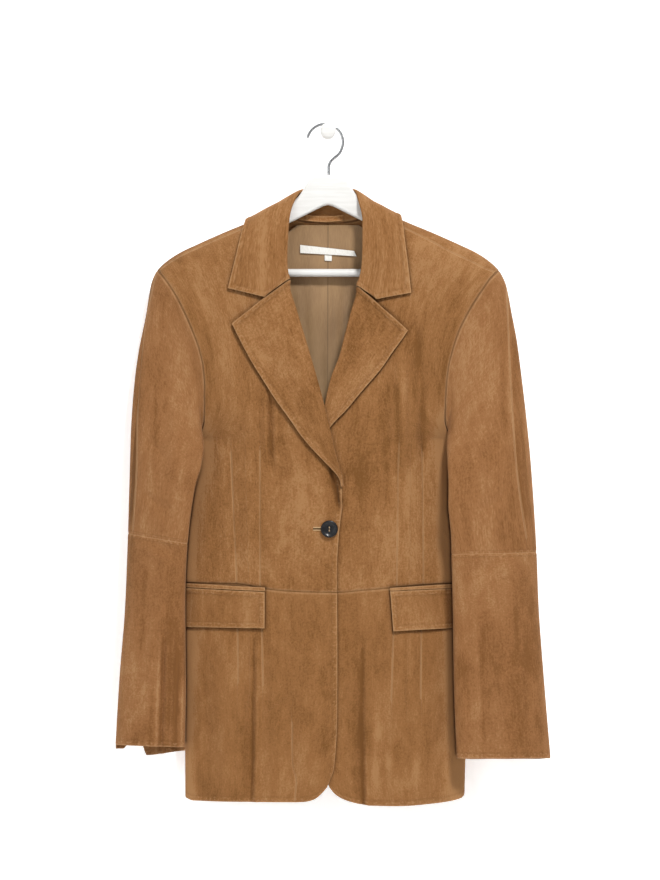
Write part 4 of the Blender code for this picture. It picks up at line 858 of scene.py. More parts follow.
# The outer seam of the sleeve, turned to the front; the cloth outside it turns away from the
# light and is painted darker, as painted shade.
SLEEVE_LINE = {
    RIGHT: table("down x", [
        (188, -225), (240, -236.6), (280, -241.8), (377, -248.3), (428, -248.7), (520, -254)]),
    LEFT: table("down x", [
        (205, 233.5), (260, 235), (347, 239), (425, 243.5), (480, 250), (530, 258)])}
STRIP_PAINTED_TONE = {RIGHT: 3.2, LEFT: 0.9}
STRIP_SHADE = {RIGHT: 0.3, LEFT: 0.0}
# Where that strip starts and ends, and how long and wide its faded ends and edge are.
STRIP_TOP = 185
STRIP_FOOT = 520
STRIP_ENDS = 30
STRIP_EDGE = 2


def off_line(line, x, down):
    """Signed distance from a line read at each height, and from its ends beyond them."""
    aside = x - smooth(line["down"], line["x"], down)
    past = np.maximum(np.maximum(line["down"][0] - down, down - line["down"][-1]), 0)
    return np.where(aside < 0, -1, 1) * np.hypot(aside, past)


def sleeve_line_distance(side, x, down):
    """Signed distance from the outer seam, negative outside it."""
    return -side * off_line(SLEEVE_LINE[side], x, down)


def outer_strip(side, x, down):
    """Share of painted shade on the strip outside the outer seam, which fades out at its ends."""
    inside = ease((0.5 - sleeve_line_distance(side, x, down)) / STRIP_EDGE)
    return inside * ease((STRIP_FOOT - down) / STRIP_ENDS) * ease((down - STRIP_TOP) / STRIP_ENDS)


def line_distance(x, down, line):
    """Distance from a run of straight pieces through points of x and down."""
    nearest = np.full(np.shape(x), FAR)
    for start, end in zip(line, line[1:]):
        run = end - start
        share = np.clip(((x - start[0]) * run[0] + (down - start[1]) * run[1]) / (run @ run), 0, 1)
        away = np.hypot(x - start[0] - share * run[0], down - start[1] - share * run[1])
        nearest = np.minimum(nearest, away)
    return nearest


def collar_outline():
    share = np.linspace(0, 1, 90)
    edge = collar_fall_point(share, 0 * share + 1)
    ends = [collar_fall_point(0 * share[::9] + end, share[::9]) for end in (0.0, 1.0)]
    return [np.stack([points[:, 0], -points[:, 2]], axis=-1) for points in [edge] + ends]


def raised_outlines(side):
    """Outlines of the pieces that stand proud of one front, as points of x and down."""
    share = np.linspace(0, 1, 40)
    lines = [lapel_place(side, 0 * share + 1, share), lapel_place(side, share, 0 * share)]
    lines += collar_outline()
    return lines + [np.array([*corners[side], corners[side][0]], float)
                    for corners in (FLAP_CORNERS, WELT_CORNERS)]


# The painted shadow line under a raised edge, and the levels at which a sleeve's edge is read.
EDGE_SHADOW_DEPTH = 0.9
SHADOW_LINE_WIDTH = 1.5
LEVEL_STEP = 8.0
# The painted shadow line along a sleeve: where it starts, how far down it takes to be full, how
# short it stops at the cuff, and how far it reaches beneath the sleeve.
ARMPIT_DOWN = 400
ARMPIT_RUN = 80
CUFF_RUN = 6
BENEATH_WIDTH = 8


def sleeve_edge(side):
    """Inner edge of a sleeve as seen from the front, as columns of down and x."""
    across, down = np.meshgrid(np.linspace(0.5, 1, 60), np.linspace(0, 1, 300))
    points = sleeve_half(side, FRONT, SLEEVE_START, CUFF_RING)(across.ravel(), down.ravel())
    level = np.round(-points[:, 2] / LEVEL_STEP)
    levels = np.unique(level)
    inmost = [side * min(side * points[level == one, 0]) for one in levels]
    return {"down": levels * LEVEL_STEP, "x": np.array(inmost)}


def beside_sleeve(edge, x, down):
    """Distance inwards from the sleeve's edge, negative beneath the sleeve."""
    side = np.sign(edge["x"][0])
    return side * (np.interp(down, edge["down"], edge["x"]) - x)


def sleeve_painted_shadow(edge, x, down):
    """Painted shadow along the sleeve's edge, from the armpit to the cuff."""
    inwards = beside_sleeve(edge, x, down)
    line = np.exp(-np.maximum(inwards, 0) / SHADOW_LINE_WIDTH - np.maximum(-inwards, 0) / BENEATH_WIDTH)
    line = line * ease((down - ARMPIT_DOWN) / ARMPIT_RUN)
    return line * ease((edge["down"][-1] - down) / CUFF_RUN)


def hollow(lines, x, down):
    """Painted shadow in the angle beneath a raised edge."""
    away = np.min([line_distance(x, down, line) for line in lines], axis=0)
    return EDGE_SHADOW_DEPTH * np.exp(-away / SHADOW_LINE_WIDTH)


def dart_distance(side, x, down):
    """Signed distance from the nearest dart or the shoulder seam, in millimetres."""
    drop = SHOULDER_SEAM[side]
    under = smooth(drop["out"], drop["under"], np.abs(x))
    nearest = SHOULDER_SLOPE * (down - shoulder_down(x) - under)
    for dart in DARTS[side]:
        away = off_line(dart, x, down)
        nearest = np.where(np.abs(away) < np.abs(nearest), away, nearest)
    return nearest


# ---- Nap: soft patches brushed darker, or lighter where the tone is negative ----
NAP_COLUMNS = "x down half_x half_down tone"
FRONT_NAP = table(NAP_COLUMNS, [
    (-112, 330, 9, 90, 0.35), (-140, 380, 10, 60, 0.4), (-77, 400, 5, 60, 0.5),
    (-60, 440, 8, 70, 0.3), (-120, 200, 60, 50, -0.35), (-40, 470, 30, 60, -0.25),
    (-150, 500, 12, 70, 0.3), (-20, 700, 30, 60, 0.25), (-100, 800, 9, 90, 0.5),
    (-84, 780, 7, 90, -0.4), (-150, 700, 20, 60, 0.2), (-170, 760, 8, 110, 0.35),
    (-60, 650, 30, 30, 0.3), (-50, 800, 25, 60, -0.2), (-120, 860, 40, 14, 0.3),
    (-160, 850, 14, 20, 0.35), (150, 200, 55, 45, -0.5), (112, 300, 10, 60, 0.45),
    (124, 390, 7, 60, 0.6), (96, 420, 5, 60, 0.5), (103, 400, 5, 90, -0.45), (76, 430, 8, 80, 0.5),
    (52, 480, 14, 70, 0.3), (140, 330, 14, 60, 0.3), (30, 520, 14, 60, -0.25),
    (110, 540, 30, 40, -0.2), (45, 780, 9, 100, 0.75), (62, 800, 8, 90, -0.5),
    (70, 660, 18, 40, 0.4), (25, 700, 14, 90, 0.25), (110, 800, 25, 50, 0.25),
    (150, 720, 10, 100, 0.4), (61, 836, 7, 22, -1.5), (79, 826, 5, 16, -1.4),
    (113, 830, 6, 14, -1.1), (143, 802, 5, 12, -0.8), (65, 782, 6, 14, -0.9),
    (100, 850, 14, 8, -0.6), (-178, 640, 10, 50, 0.35), (90, 740, 30, 40, -0.15),
    # The long light mark at x 148, down 480, is painted light against the sleeve's shadow.
    (-90, 560, 40, 30, -0.2), (150, 560, 20, 30, -0.3), (148, 480, 10, 110, -1.2),
    (-176, 620, 7, 120, -0.8)])
BACK_NAP = table(NAP_COLUMNS, [
    (-70, 300, 12, 110, 0.4), (60, 340, 10, 120, 0.45), (-140, 260, 20, 60, 0.3),
    (150, 300, 16, 70, 0.35), (0, 200, 60, 40, -0.3), (-30, 520, 16, 70, 0.35),
    (30, 480, 14, 90, -0.3), (-110, 480, 22, 60, -0.25), (110, 520, 24, 50, 0.3),
    (-96, 780, 12, 100, 0.5), (84, 760, 12, 110, 0.5), (-44, 760, 9, 90, 0.35),
    (40, 800, 9, 80, 0.4), (-150, 700, 16, 80, -0.3), (140, 780, 20, 60, -0.3),
    (10, 700, 30, 50, -0.2)])
SLEEVE_NAP = table(NAP_COLUMNS, [
    (-218, 250, 20, 50, 0.25), (-200, 330, 8, 60, -0.3), (-212, 450, 10, 60, 0.3),
    (-190, 470, 8, 40, -0.3), (-240, 380, 10, 80, -0.2), (-255, 440, 5, 90, 0.7),
    (-248, 330, 6, 90, 0.8), (-240, 240, 8, 40, 0.3), (-201, 730, 10, 100, 1.8),
    (-245, 640, 20, 60, 0.25), (-250, 740, 20, 22, -0.5), (-262, 700, 12, 16, -0.45),
    (-230, 780, 20, 20, 0.3), (-214, 560, 16, 30, 0.25), (-212, 200, 10, 14, -0.6),
    (-222, 240, 8, 12, -0.3), (232, 240, 10, 60, 0.3), (212, 330, 14, 60, -0.15),
    (237, 300, 3.5, 100, -0.9), (250, 330, 6, 80, 0.2), (200, 500, 14, 90, -0.2),
    (240, 500, 14, 70, 0.2), (200, 640, 10, 90, 0.35), (190, 780, 22, 20, 0.25),
    (250, 700, 18, 70, 0.25), (222, 770, 9, 40, -0.35), (200, 700, 30, 120, 0.35),
    (250, 700, 30, 120, 0.4), (276, 700, 8, 80, 0.3), (180, 560, 8, 60, 0.3),
    (206, 205, 10, 24, 0.3)])


def nap_tone(x, down, marks):
    tone = 0
    for i in range(len(marks["tone"])):
        away = ((x - marks["x"][i]) / marks["half_x"][i]) ** 2
        away = away + ((down - marks["down"][i]) / marks["half_down"][i]) ** 2
        tone = tone + marks["tone"][i] * np.exp(-away)
    return tone


# ---- Cloth shells ----
CROWDING = 0.4
# How deep and wide the cloth dips along its seams, turned rims and darts.
GROOVE = 0.6
GROOVE_WIDTH = 1.7
RIM_WIDTH = 1.2
DART_PULL = 1.3
DART_PULL_WIDTH = 13
DART_GROOVE = 0.4
DART_GROOVE_WIDTH = 1.6
# A turned and pressed edge stands up, and its stitch line pulls it down again.
LIFT_WIDTH = 9
STITCH_INSET = 7
STITCH_WIDTH = 1.5
STITCH_SHARE = 0.2
# A faint seam has this share of a groove, and is rubbed like a rim that is further off.
FAINT_SHARE = 0.5
FAINT_SPREAD = 1.7
FAINT_OFF = 0.6
# Width of a turned edge that keeps its full roll, and how far a seam's edge reaches on.
ROLL_WIDTH = 24
ROLL_RUN = 0.002
OVERLAP = 0.35
EDGE_STEP = 0.01
EDGE_CLOSE = 1e-6
# The room round a piece of cloth, as a share of its size.
SHEET_ROOM = 1.05


def crowded(t):
    """Shares drawn towards both edges, where the seams and folds are."""
    return t - CROWDING * np.sin(2 * math.pi * t) / (2 * math.pi)


def span(first, second):
    return np.linalg.norm(first - second, axis=1)


def rolled(face_point, radius, share, outward):
    """The same cloth turned under itself by half a circle along its edge b = 0."""
    def point(a, b):
        inner = np.clip((b - share) / (1 - share), 0, 1)
        start = face_point(a, 0 * b)
        bend = radius * np.minimum(span(face_point(a, 0 * b + 1), start) / ROLL_WIDTH, 1)[:, None]
        normal = face_normals(face_point, a, 0 * b) * facing_sign(face_point, outward)
        run = face_point(a, 0 * b + ROLL_RUN) - start
        run = run / np.linalg.norm(run, axis=1, keepdims=True)
        turn = math.pi * np.clip(1 - b / share, 0, 1)[:, None]
        curl = start + bend * (normal * (np.cos(turn) - 1) - run * np.sin(turn))
        return np.where((b < share)[:, None], curl, face_point(a, inner))
    return point


def edge_spots(a, b, edge, inset=0.0):
    """Shares of the points across from a and b on an edge, a0, a1, b0 or b1, or inside it."""
    at = abs(int(edge[1]) - inset)
    return (0 * a + at, b) if edge[0] == "a" else (a, 0 * b + at)


def relief(seam, faint, rim, pull, pull_depth, lift):
    """Height of the cloth over its plain face, from the distances to its seams and edges."""
    return (-GROOVE * bell(seam, GROOVE_WIDTH) - FAINT_SHARE * GROOVE * bell(rim, RIM_WIDTH)
            - pull_depth * bell(pull, DART_PULL_WIDTH)
            - DART_GROOVE * bell(pull, DART_GROOVE_WIDTH)
            - FAINT_SHARE * GROOVE * bell(faint, GROOVE_WIDTH)
            + lift * bell(rim, LIFT_WIDTH)
            - STITCH_SHARE * lift * bell(rim - STITCH_INSET, STITCH_WIDTH))


def walled(bm, outer, inner):
    """Close a flat grid into a wall, and give the grid's point that each vertex comes from."""
    first = list(bm.verts)
    spot = {tuple(np.round(vert.co[:2], 6)): i for i, vert in enumerate(first)}
    grown = bmesh.ops.extrude_face_region(bm, geom=bm.faces[:])
    second = [item for item in grown["geom"] if isinstance(item, bmesh.types.BMVert)]
    order = list(range(len(first))) + [spot[tuple(np.round(vert.co[:2], 6))] for vert in second]
    bm.verts.index_update()
    place_of = np.zeros(len(bm.verts), int)
    for vert, i, face in zip(first + second, order, [outer] * len(first) + [inner] * len(second)):
        vert.co = Vector(face[i] * MM)
        place_of[vert.index] = i
    bmesh.ops.recalc_face_normals(bm, faces=bm.faces[:])
    return place_of


def shell(name, face_point, columns, rows, thickness, facing, seams="", rims="", dart=None,
          nap=None, lift=0.0, shade=None, faint="", grooved=None, pull_depth=DART_PULL,
          brushed="along"):
    """A cloth piece on face_point(across, along), thickened away from facing.

    seams and rims name its edges: a0 and a1 across, b0 and b1 along. A seam's edge reaches over
    the gap to the next piece. grooved are the seams with a groove, all of them if not said, and
    faint those with half of one. lift raises the rims, as a turned and pressed edge does.
    """
    bm = bmesh.new()
    bmesh.ops.create_grid(bm, x_segments=columns, y_segments=rows, size=0.5)
    share = np.clip(np.array([vert.co[:2] for vert in bm.verts]) + 0.5, 0, 1)
    a, b = crowded(share[:, 0]), crowded(share[:, 1])
    outer = face_point(a, b)
    normals = face_normals(face_point, a, b) * facing_sign(face_point, facing)
    far = np.full(len(a), FAR)

    def nearest(edges):
        away = [span(outer, face_point(*edge_spots(a, b, edge))) for edge in edges.split()]
        return np.min([far] + away, axis=0)
    seam, faint, rim = map(nearest, (seams if grooved is None else grooved, faint, rims))
    pull = dart(outer[:, 0], -outer[:, 2]) if dart else far
    for edge in seams.split():
        at = np.abs((a if edge[0] == "a" else b) - int(edge[1])) < EDGE_CLOSE
        run = face_point(a[at], b[at]) - face_point(*edge_spots(a[at], b[at], edge, EDGE_STEP))
        run = run / np.maximum(np.linalg.norm(run, axis=1, keepdims=True), 1e-9)
        outer[at] = outer[at] + OVERLAP * run - OVERLAP * normals[at]
    outer = outer + normals * relief(seam, faint, rim, pull, pull_depth, lift)[:, None]
    middle = np.array([0.5])
    width, length = (
        span(*(face_point(*edge_spots(middle, middle, f"{way}{end}")) for end in (0, 1)))
        for way in "ab")
    # Each piece reads the patterns from a layer of its own, by the letters of its name.
    layer = 40.0 * (sum(map(ord, name)) % 97)
    cloth = np.stack([a * width, b * length, 0 * a + layer], axis=-1)
    if brushed == "across":
        cloth = cloth[:, [1, 0, 2]]
    if brushed == "down":
        cloth[:, :2] = outer[:, [0, 2]]
    place_of = walled(bm, outer, outer - normals * thickness)
    mesh = closed(name, bm)
    rim = np.minimum(rim, FAINT_SPREAD * faint + FAINT_OFF)
    # shade holds painted shadow; nap holds nap patches and, on some pieces, painted shade and
    # light.
    values = {"seam": seam, "rim": rim, "dart": pull,
              "nap": nap(outer[:, 0], -outer[:, 2]) if nap else 0 * far,
              "shade": shade(outer[:, 0], -outer[:, 2]) if shade else 0 * far, "cloth": cloth}
    for label, value in values.items():
        kind, word = ("FLOAT_VECTOR", "vector") if label == "cloth" else ("FLOAT", "value")
        made = mesh.attributes.new(label, kind, "POINT")
        made.data.foreach_set(word, value[place_of].astype(np.float32).ravel())
    return keep(name, mesh)


def closed(name, bm, sharp=50):
    """The mesh of a bmesh that is done with, smooth up to an angle in degrees."""
    mesh = bpy.data.meshes.new(name)
    bm.to_mesh(mesh)
    bm.free()
    mesh.shade_smooth()
    mesh.set_sharp_from_angle(angle=math.radians(sharp))
    return mesh


def keep(name, mesh):
    piece = bpy.data.objects.new(name, mesh)
    bpy.context.scene.collection.objects.link(piece)
    return piece


def cloth_piece(piece, look, node_name):
    """Gives a piece of cloth its look, hides the CAD node it stands for, and attaches it to the
    root.
    """
    piece.data.materials.append(look)
    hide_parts(node_name)
    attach(piece, "root")
    spread = np.ptp([tuple(vert.co) for vert in piece.data.vertices], axis=0) * SHEET_ROOM


# ---- Finishes ----
def linear(code):
    """Linear red, green, blue and alpha of an sRGB hex code."""
    parts = [int(code[i:i + 2], 16) / 255 for i in (1, 3, 5)]
    return [c / 12.92 if c <= 0.04045 else ((c + 0.055) / 1.055) ** 2.4 for c in parts] + [1.0]


def fill(made, inputs):
    """Set each input of a node, or link it where it is given another node's output."""
    for socket, source in inputs.items() if isinstance(inputs, dict) else enumerate(inputs):
        if isinstance(source, bpy.types.NodeSocket):
            made.id_data.links.new(source, made.inputs[socket])
        else:
            made.inputs[socket].default_value = source


def node(tree, kind, inputs=(), out=0, **settings):
    """Add a node with its settings and links, and give one of its outputs."""
    made = tree.nodes.new("ShaderNode" + kind)
    for key, value in settings.items():
        setattr(made, key, value)
    fill(made, inputs)
    return made.outputs[out]


def begun(name, patterns=(), on_cloth=False, **sockets):
    """A new material, what adds a node to it, its shader and its patterns.

    The shader's even values are set as words. A pattern is noise: its feature size in millimetres
    across, along and through the cloth, its detail, roughness, distortion and turn in degrees.
    """
    made = bpy.data.materials.new(name)
    made.use_nodes = True
    add = partial(node, made.node_tree)
    shader = made.node_tree.nodes["Principled BSDF"]
    fill(shader, {socket.replace("_", " "): value for socket, value in sockets.items()})
    if on_cloth:
        spot, unit = add("Attribute", out="Vector", attribute_name="cloth"), 1
    else:
        spot, unit = add("TexCoord", out="Object"), MM
    grains = []
    for size, detail, roughness, distortion, turn in patterns:
        scaled = add("Mapping", {"Vector": spot, "Rotation": (0, 0, math.radians(turn)),
                                 "Scale": [1 / (unit * s) for s in size]})
        grains.append(add("TexNoise", {"Vector": scaled, "Scale": 1.0, "Detail": detail,
                                       "Roughness": roughness, "Distortion": distortion}))
    return made, add, shader, grains


def layered(add, colour, layers):
    """A colour with other colours laid over it, each where its share says."""
    for share, code in layers:
        colour = add("Mix", {0: share, 6: colour, 7: linear(code)}, out=2, data_type="RGBA")
    return colour


def grained_finish(name, pattern, colours, fade=(0.3, 0.7), relief=None, gloss=None,
                   on_cloth=False, **sockets):
    """A finish whose one pattern runs between two colours, and may raise it or dull it."""
    made, add, shader, (grain,) = begun(name, [pattern], on_cloth, **sockets)
    share = add("MapRange", (grain, *fade), interpolation_type="SMOOTHSTEP")
    fill(shader, {"Base Color": layered(add, linear(colours[0]), [(share, colours[1])])})
    if relief:
        strength, distance = relief
        bump = {"Height": grain, "Strength": strength, "Distance": distance}
        fill(shader, {"Normal": add("Bump", bump)})
    if gloss:
        dull = add("MapRange", (grain, *fade, *gloss), interpolation_type="SMOOTHSTEP")
        fill(shader, {"Roughness": dull})
    return made


# What is seen in the suede: soft patches, long streaks, strokes of the hand, the nap itself, its
# brushed hairs, worn ticks near the rims, and the ripple of the skin.
SUEDE_PATTERNS = [
    ((55, 120, 40), 3, 0.5, 0.6, 0), ((8, 90, 40), 3, 0.55, 0.3, 0),
    ((11, 24, 40), 4, 0.6, 0.8, 0), ((1.9, 3.0, 40), 3, 0.85, 0, 0),
    ((1.6, 13, 40), 2, 0.6, 0, 0), ((3.2, 3.2, 40), 1, 0.5, 0, 0), ((5.5, 5.5, 40), 2, 0.5, 0, 0)]
# How much each of the first five counts in the tone, and the tone's own middle.
SUEDE_WEIGHTS = (0.34, 0.14, 0.22, 0.42, 0.16)
SUEDE_MIDDLE = 0.64
# Colours of the nap: brushed dark, as cut and brushed light, then rubbed edges, and hollows.
SUEDE_TAN = ("#734C27", "#8D6139", "#A0754C", "#B99066", "#5A3819")
SUEDE_WARM_TAN = ("#774E2A", "#90633D", "#A57B53", "#BC946B", "#5C391B")
SUEDE_RUBBED = ("#94704A", "#AE8A60", "#C2A076", "#CFB08A", "#4A2A12")
# Painted shadow colour, for edges, sleeves, the lap, creases, the sleeve strip and the slit.
SUEDE_PAINTED_SHADOW = "#260D00"


def suede_finish(name, colours, contrast=1.0):
    """Goat suede, sheared and brushed: the nap lies in soft patches and faint long streaks, is
    rubbed light on the folded edges and along the seams, and glows a little at grazing angles."""
    made, add, shader, grains = begun(name, SUEDE_PATTERNS, True, Roughness=0.95,
                                      Specular_IOR_Level=0.12, Sheen_Weight=0.22,
                                      Sheen_Roughness=0.5, Sheen_Tint=linear("#E8C39A"))
    patches, streaks, marks, nap, brushed, ticks, ripple = grains
    seam, rim, dart, nap_and_painted_light, shade = (add("Attribute", out="Fac", attribute_name=label)
                                        for label in ("seam", "rim", "dart", "nap", "shade"))
    dart = add("Math", (dart,), operation="ABSOLUTE")
    edge = add("Math", (seam, rim), operation="MINIMUM")
    tone = 0.0
    for grain, weight in zip((brushed, nap, marks, streaks, patches), SUEDE_WEIGHTS[::-1]):
        tone = add("Math", (grain, weight, tone), operation="MULTIPLY_ADD")
    tone = add("Math", (tone, SUEDE_MIDDLE), operation="SUBTRACT")
    tone = add("Math", (tone, contrast, 0.5), operation="MULTIPLY_ADD")
    # The nap attribute brings nap patches, and painted shade and light on some pieces.
    tone = add("Math", (nap_and_painted_light, -0.10, tone), operation="MULTIPLY_ADD")
    # Distances are made ragged by a millimetre and a half either way.
    ragged = add("Math", (marks, 3.0, -1.5), operation="MULTIPLY_ADD")
    near_seam, near_rim, near_dart = (
        add("Math", (ragged, share, line), operation="MULTIPLY_ADD")
        for line, share in ((seam, 1.0), (rim, 1.0), (dart, 0.4)))
    # Each fade goes from one distance or tone to another, then from one share to another.
    (as_cut, light, rubbed_seam, rubbed_rim, rubbed_dart, patchy, worn, by_rim, band_start,
     band_end, dark_seam, dark_dart, off_edge, seam_ditch, dart_ditch) = (
        add("MapRange", fade, interpolation_type="SMOOTHSTEP") for fade in (
            (tone, 0.34, 0.51), (tone, 0.49, 0.64), (near_seam, 0.8, 4.0, 0.42, 0.0),
            (near_rim, 0.3, 2.4, 0.5, 0.0), (near_dart, 0.5, 1.9, 0.55, 0.0),
            (streaks, 0.3, 0.62, 0.45, 1.0), (ticks, 0.5, 0.68), (rim, 5.0, 8.0, 0.3, 0.0),
            (near_rim, 5.0, 6.4), (near_rim, 6.8, 10.0, 1.0, 0.0), (seam, 0.3, 1.1, 0.55, 0.0),
            (dart, 0.2, 0.8, 0.3, 0.0), (edge, 5.0, 12.0, 1.0, 0.12), (seam, 0.0, 2.2, -0.9, 0.0),
            (dart, 0.0, 1.6, -0.5, 0.0)))
    # The stitch line runs in a shallow band a little way in from each turned rim.
    band, worn, ripple = (add("Math", both, operation="MULTIPLY") for both in (
        (band_start, band_end), (worn, by_rim), (ripple, off_edge)))
    rubbed = add("Math", (rubbed_rim, rubbed_dart), operation="MAXIMUM")
    rubbed = add("Math", (rubbed_seam, rubbed), operation="MAXIMUM")
    rubbed = add("Math", (rubbed, patchy), operation="MULTIPLY")
    dark = add("Math", (band, 0.14), operation="MULTIPLY")
    for line in (dark_dart, dark_seam):
        dark = add("Math", (line, dark), operation="MAXIMUM")
    # The shade attribute lays the painted shadow over the colour.
    under = add("MapRange", (shade, 0.0, 1.0, 0.0, 0.92))
    dark_nap, cut_nap, light_nap, rub, deep = colours
    colour = layered(add, linear(dark_nap), [
        (as_cut, cut_nap), (light, light_nap), (rubbed, rub), (worn, rub), (dark, deep),
        (under, SUEDE_PAINTED_SHADOW)])
    height = add("Math", (seam_ditch, dart_ditch), operation="ADD")
    for part, weight in ((band, -0.25), (ripple, 0.9), (marks, 0.35), (nap, 0.8)):
        height = add("Math", (part, weight, height), operation="MULTIPLY_ADD")
    bump = add("Bump", {"Height": height, "Strength": 0.85, "Distance": 0.001})
    fill(shader, {"Base Color": colour, "Normal": bump})
    return made


def lining_finish(name):
    """Viscose twill: smooth and a little glossy, with fine diagonal lines drawn coarse enough to
    show, a dark centre seam, and a lower half made paler by painted light."""
    made, add, shader, (lines, clouds) = begun(
        name, [((1.2, 9, 1), 2, 0.5, 0, 63), ((30, 120, 40), 3, 0.5, 0, 0)], True,
        Roughness=0.5, Specular_IOR_Level=0.35, Sheen_Weight=0.15, Sheen_Tint=linear("#D8CBB0"))
    seam, painted_light = (add("Attribute", out="Fac", attribute_name=label) for label in ("dart", "nap"))
    tone = add("Math", (clouds, 0.75), operation="MULTIPLY")
    tone = add("Math", (lines, 0.25, tone), operation="MULTIPLY_ADD")
    seam = add("Math", (seam,), operation="ABSOLUTE")
    pale, seam = (add("MapRange", fade, interpolation_type="SMOOTHSTEP")
                  for fade in ((tone, 0.3, 0.7), (seam, 0.3, 1.1, 0.45, 0.0)))
    painted_light = add("Math", (painted_light, 0.35), operation="MULTIPLY")
    colour = layered(add, linear("#856747"),
                     [(pale, "#A3825C"), (seam, "#4A3720"), (painted_light, "#C9A77E")])
    bump = add("Bump", {"Height": lines, "Strength": 0.25, "Distance": 0.0004})
    fill(shader, {"Base Color": colour, "Normal": bump})
    return made


SUEDE_CLOTH = suede_finish("brushed_goat_suede", SUEDE_TAN)
SUEDE_CHEST = suede_finish("brushed_goat_suede_chest", SUEDE_TAN, 1.25)
SUEDE_COLLAR = suede_finish("brushed_goat_suede_collar", SUEDE_TAN, 1.35)
SUEDE_SLEEVE = suede_finish("brushed_goat_suede_sleeve", SUEDE_WARM_TAN)
SUEDE_BINDING = suede_finish("rubbed_goat_suede_binding", SUEDE_RUBBED)
LINING_TWILL = lining_finish("viscose_twill_lining")
# Damask label: white satin threads a third of a millimetre apart, drawn coarser.
LABEL_DAMASK = grained_finish(
    "blank_damask_label", ((0.6, 6, 40), 2, 0.5, 0, 0), ("#E2DFD6", "#F4F2EC"),
    relief=(0.3, 0.0003), on_cloth=True, Roughness=0.6, Sheen_Weight=0.2)
# White lacquer over wood: even and satin, with a faint long grain under the coat.
WHITE_LACQUER = grained_finish(
    "white_lacquer_on_wood", ((40, 3.3333, 3.3333), 3, 0.5, 0, 0), ("#E4E3DF", "#ECEBE8"),
    relief=(0.12, 0.0004), Roughness=0.3, Coat_Weight=0.35, Coat_Roughness=0.15)
# Nickel-plated steel wire, drawn: bright, with fine marks along it.
PLATED_WIRE = grained_finish(
    "nickel_plated_wire", ((1.1111, 1.1111, 1.1111), 2, 0.5, 0, 0), ("#A6A8AA", "#C2C4C6"),
    gloss=(0.18, 0.3), Metallic=1.0)
# Polished dark horn: nearly black, with slow blue-grey clouds.
DARK_HORN = grained_finish(
    "polished_dark_horn", ((4.5455, 4.5455, 4.5455), 3, 0.5, 1.5, 0), ("#050507", "#0E0F14"),
    (0.35, 0.7), Roughness=0.42, Specular_IOR_Level=0.35, Coat_Weight=0.22, Coat_Roughness=0.12)
# Polyester sewing thread, two plies twisted.
TAN_THREAD = grained_finish(
    "tan_polyester_thread", ((0.66667, 0.66667, 0.66667), 1, 0.5, 0, 0), ("#A98A60", "#D2B48C"),
    Roughness=0.7, Sheen_Weight=0.3)


# ---- Body ----
# Painted shade: a shadow under the overlapping front, and in creases deeper than a limit.
LAP_SHADE = 0.5
CREASE_SHADE = 0.3
CREASE_LIMIT = 0.6
# Painted light that lifts the shade beside a sleeve, how far it reaches, and where it starts.
PAINTED_LIGHT_BESIDE_SLEEVE = 2.2
BESIDE_WIDTH = 14
BESIDE_DOWN = 345
BESIDE_RUN = 60


def front_shade(side, lines, sleeve, x, down):
    """Painted shadow under raised edges, by the sleeve and under the lap, and in deep creases."""
    dark = hollow(lines, x, down) + sleeve_painted_shadow(sleeve, x, down)
    dark = dark + CREASE_SHADE * np.maximum(fold_depth(x, down, FRONT_CREASES) - CREASE_LIMIT, 0)
    if side == LEFT:
        past_edge = np.maximum(x - front_inner(RIGHT, down)[..., 0], 0)
        dark = dark + LAP_SHADE * np.exp(-past_edge / SHADOW_LINE_WIDTH)
    return np.clip(dark, 0, 1)


def panel_shell(stem, side, face, flat_place, columns, rows, seams, rims, look, lines=(),
                lift=0.0):
    sleeve = sleeve_edge(side)
    slack, creases, marks = ((FRONT_SLACK, FRONT_CREASES, FRONT_NAP) if face == FRONT
                             else (BACK_SLACK, BACK_CREASES, BACK_NAP))

    def face_point(a, b):
        x, down = flat_place(side, a, b).T
        sunk = fold_depth(x, down, slack) + CREASE_DEPTH * fold_depth(x, down, creases)
        sunk = sunk * ease((body_side(x, down) - np.abs(x)) / SIDE_FADE)
        return place(x, panel_fore(x, down, side, face) - face * sunk, down)

    # Nap patches, painted shade and highlight in creases, and painted light beside the sleeve.
    def tone(x, down):
        dark = nap_tone(x, down, marks) + fold_depth(x, down, creases)
        if face == BACK:
            return dark
        near = bell(np.maximum(beside_sleeve(sleeve, x, down), 0), BESIDE_WIDTH)
        return dark - PAINTED_LIGHT_BESIDE_SLEEVE * near * ease((down - BESIDE_DOWN) / BESIDE_RUN)
    dart, shade = ((partial(dart_distance, side), partial(front_shade, side, lines, sleeve))
                   if face == FRONT else (None, None))
    name = f"{stem}_{SIDE_NAMES[side]}"
    piece = shell(f"suede_{name}", face_point, columns, rows, SUEDE, (0, -face, 0), seams, rims,
                  dart, tone, lift, shade)
    cloth_piece(piece, look, name)


def make_body():
    for side in (RIGHT, LEFT):
        lines = raised_outlines(side)
        for stem, face, flat_place, columns, rows, seams, rims, look, *rest in (
                ("front_upper", FRONT, front_upper_place, 150, 150, "a0 b0 b1", "a1", SUEDE_CHEST,
                 lines, 0.5),
                ("front_skirt", FRONT, front_skirt_place, 150, 90, "a0 b0", "a1 b1", SUEDE_CLOTH,
                 lines),
                ("back_upper", BACK, back_upper_place, 84, 110, "a0 a1 b0 b1", "", SUEDE_CLOTH),
                ("back_skirt", BACK, back_skirt_place, 84, 60, "a0 a1 b0", "b1", SUEDE_CLOTH)):
            panel_shell(stem, side, face, flat_place, columns, rows, seams, rims, look, *rest)


# ---- Sleeves ----
# How strong the painted shade and highlight along the sleeves' creases are.
SLEEVE_CREASE_PAINTED_SHADE = 2.2


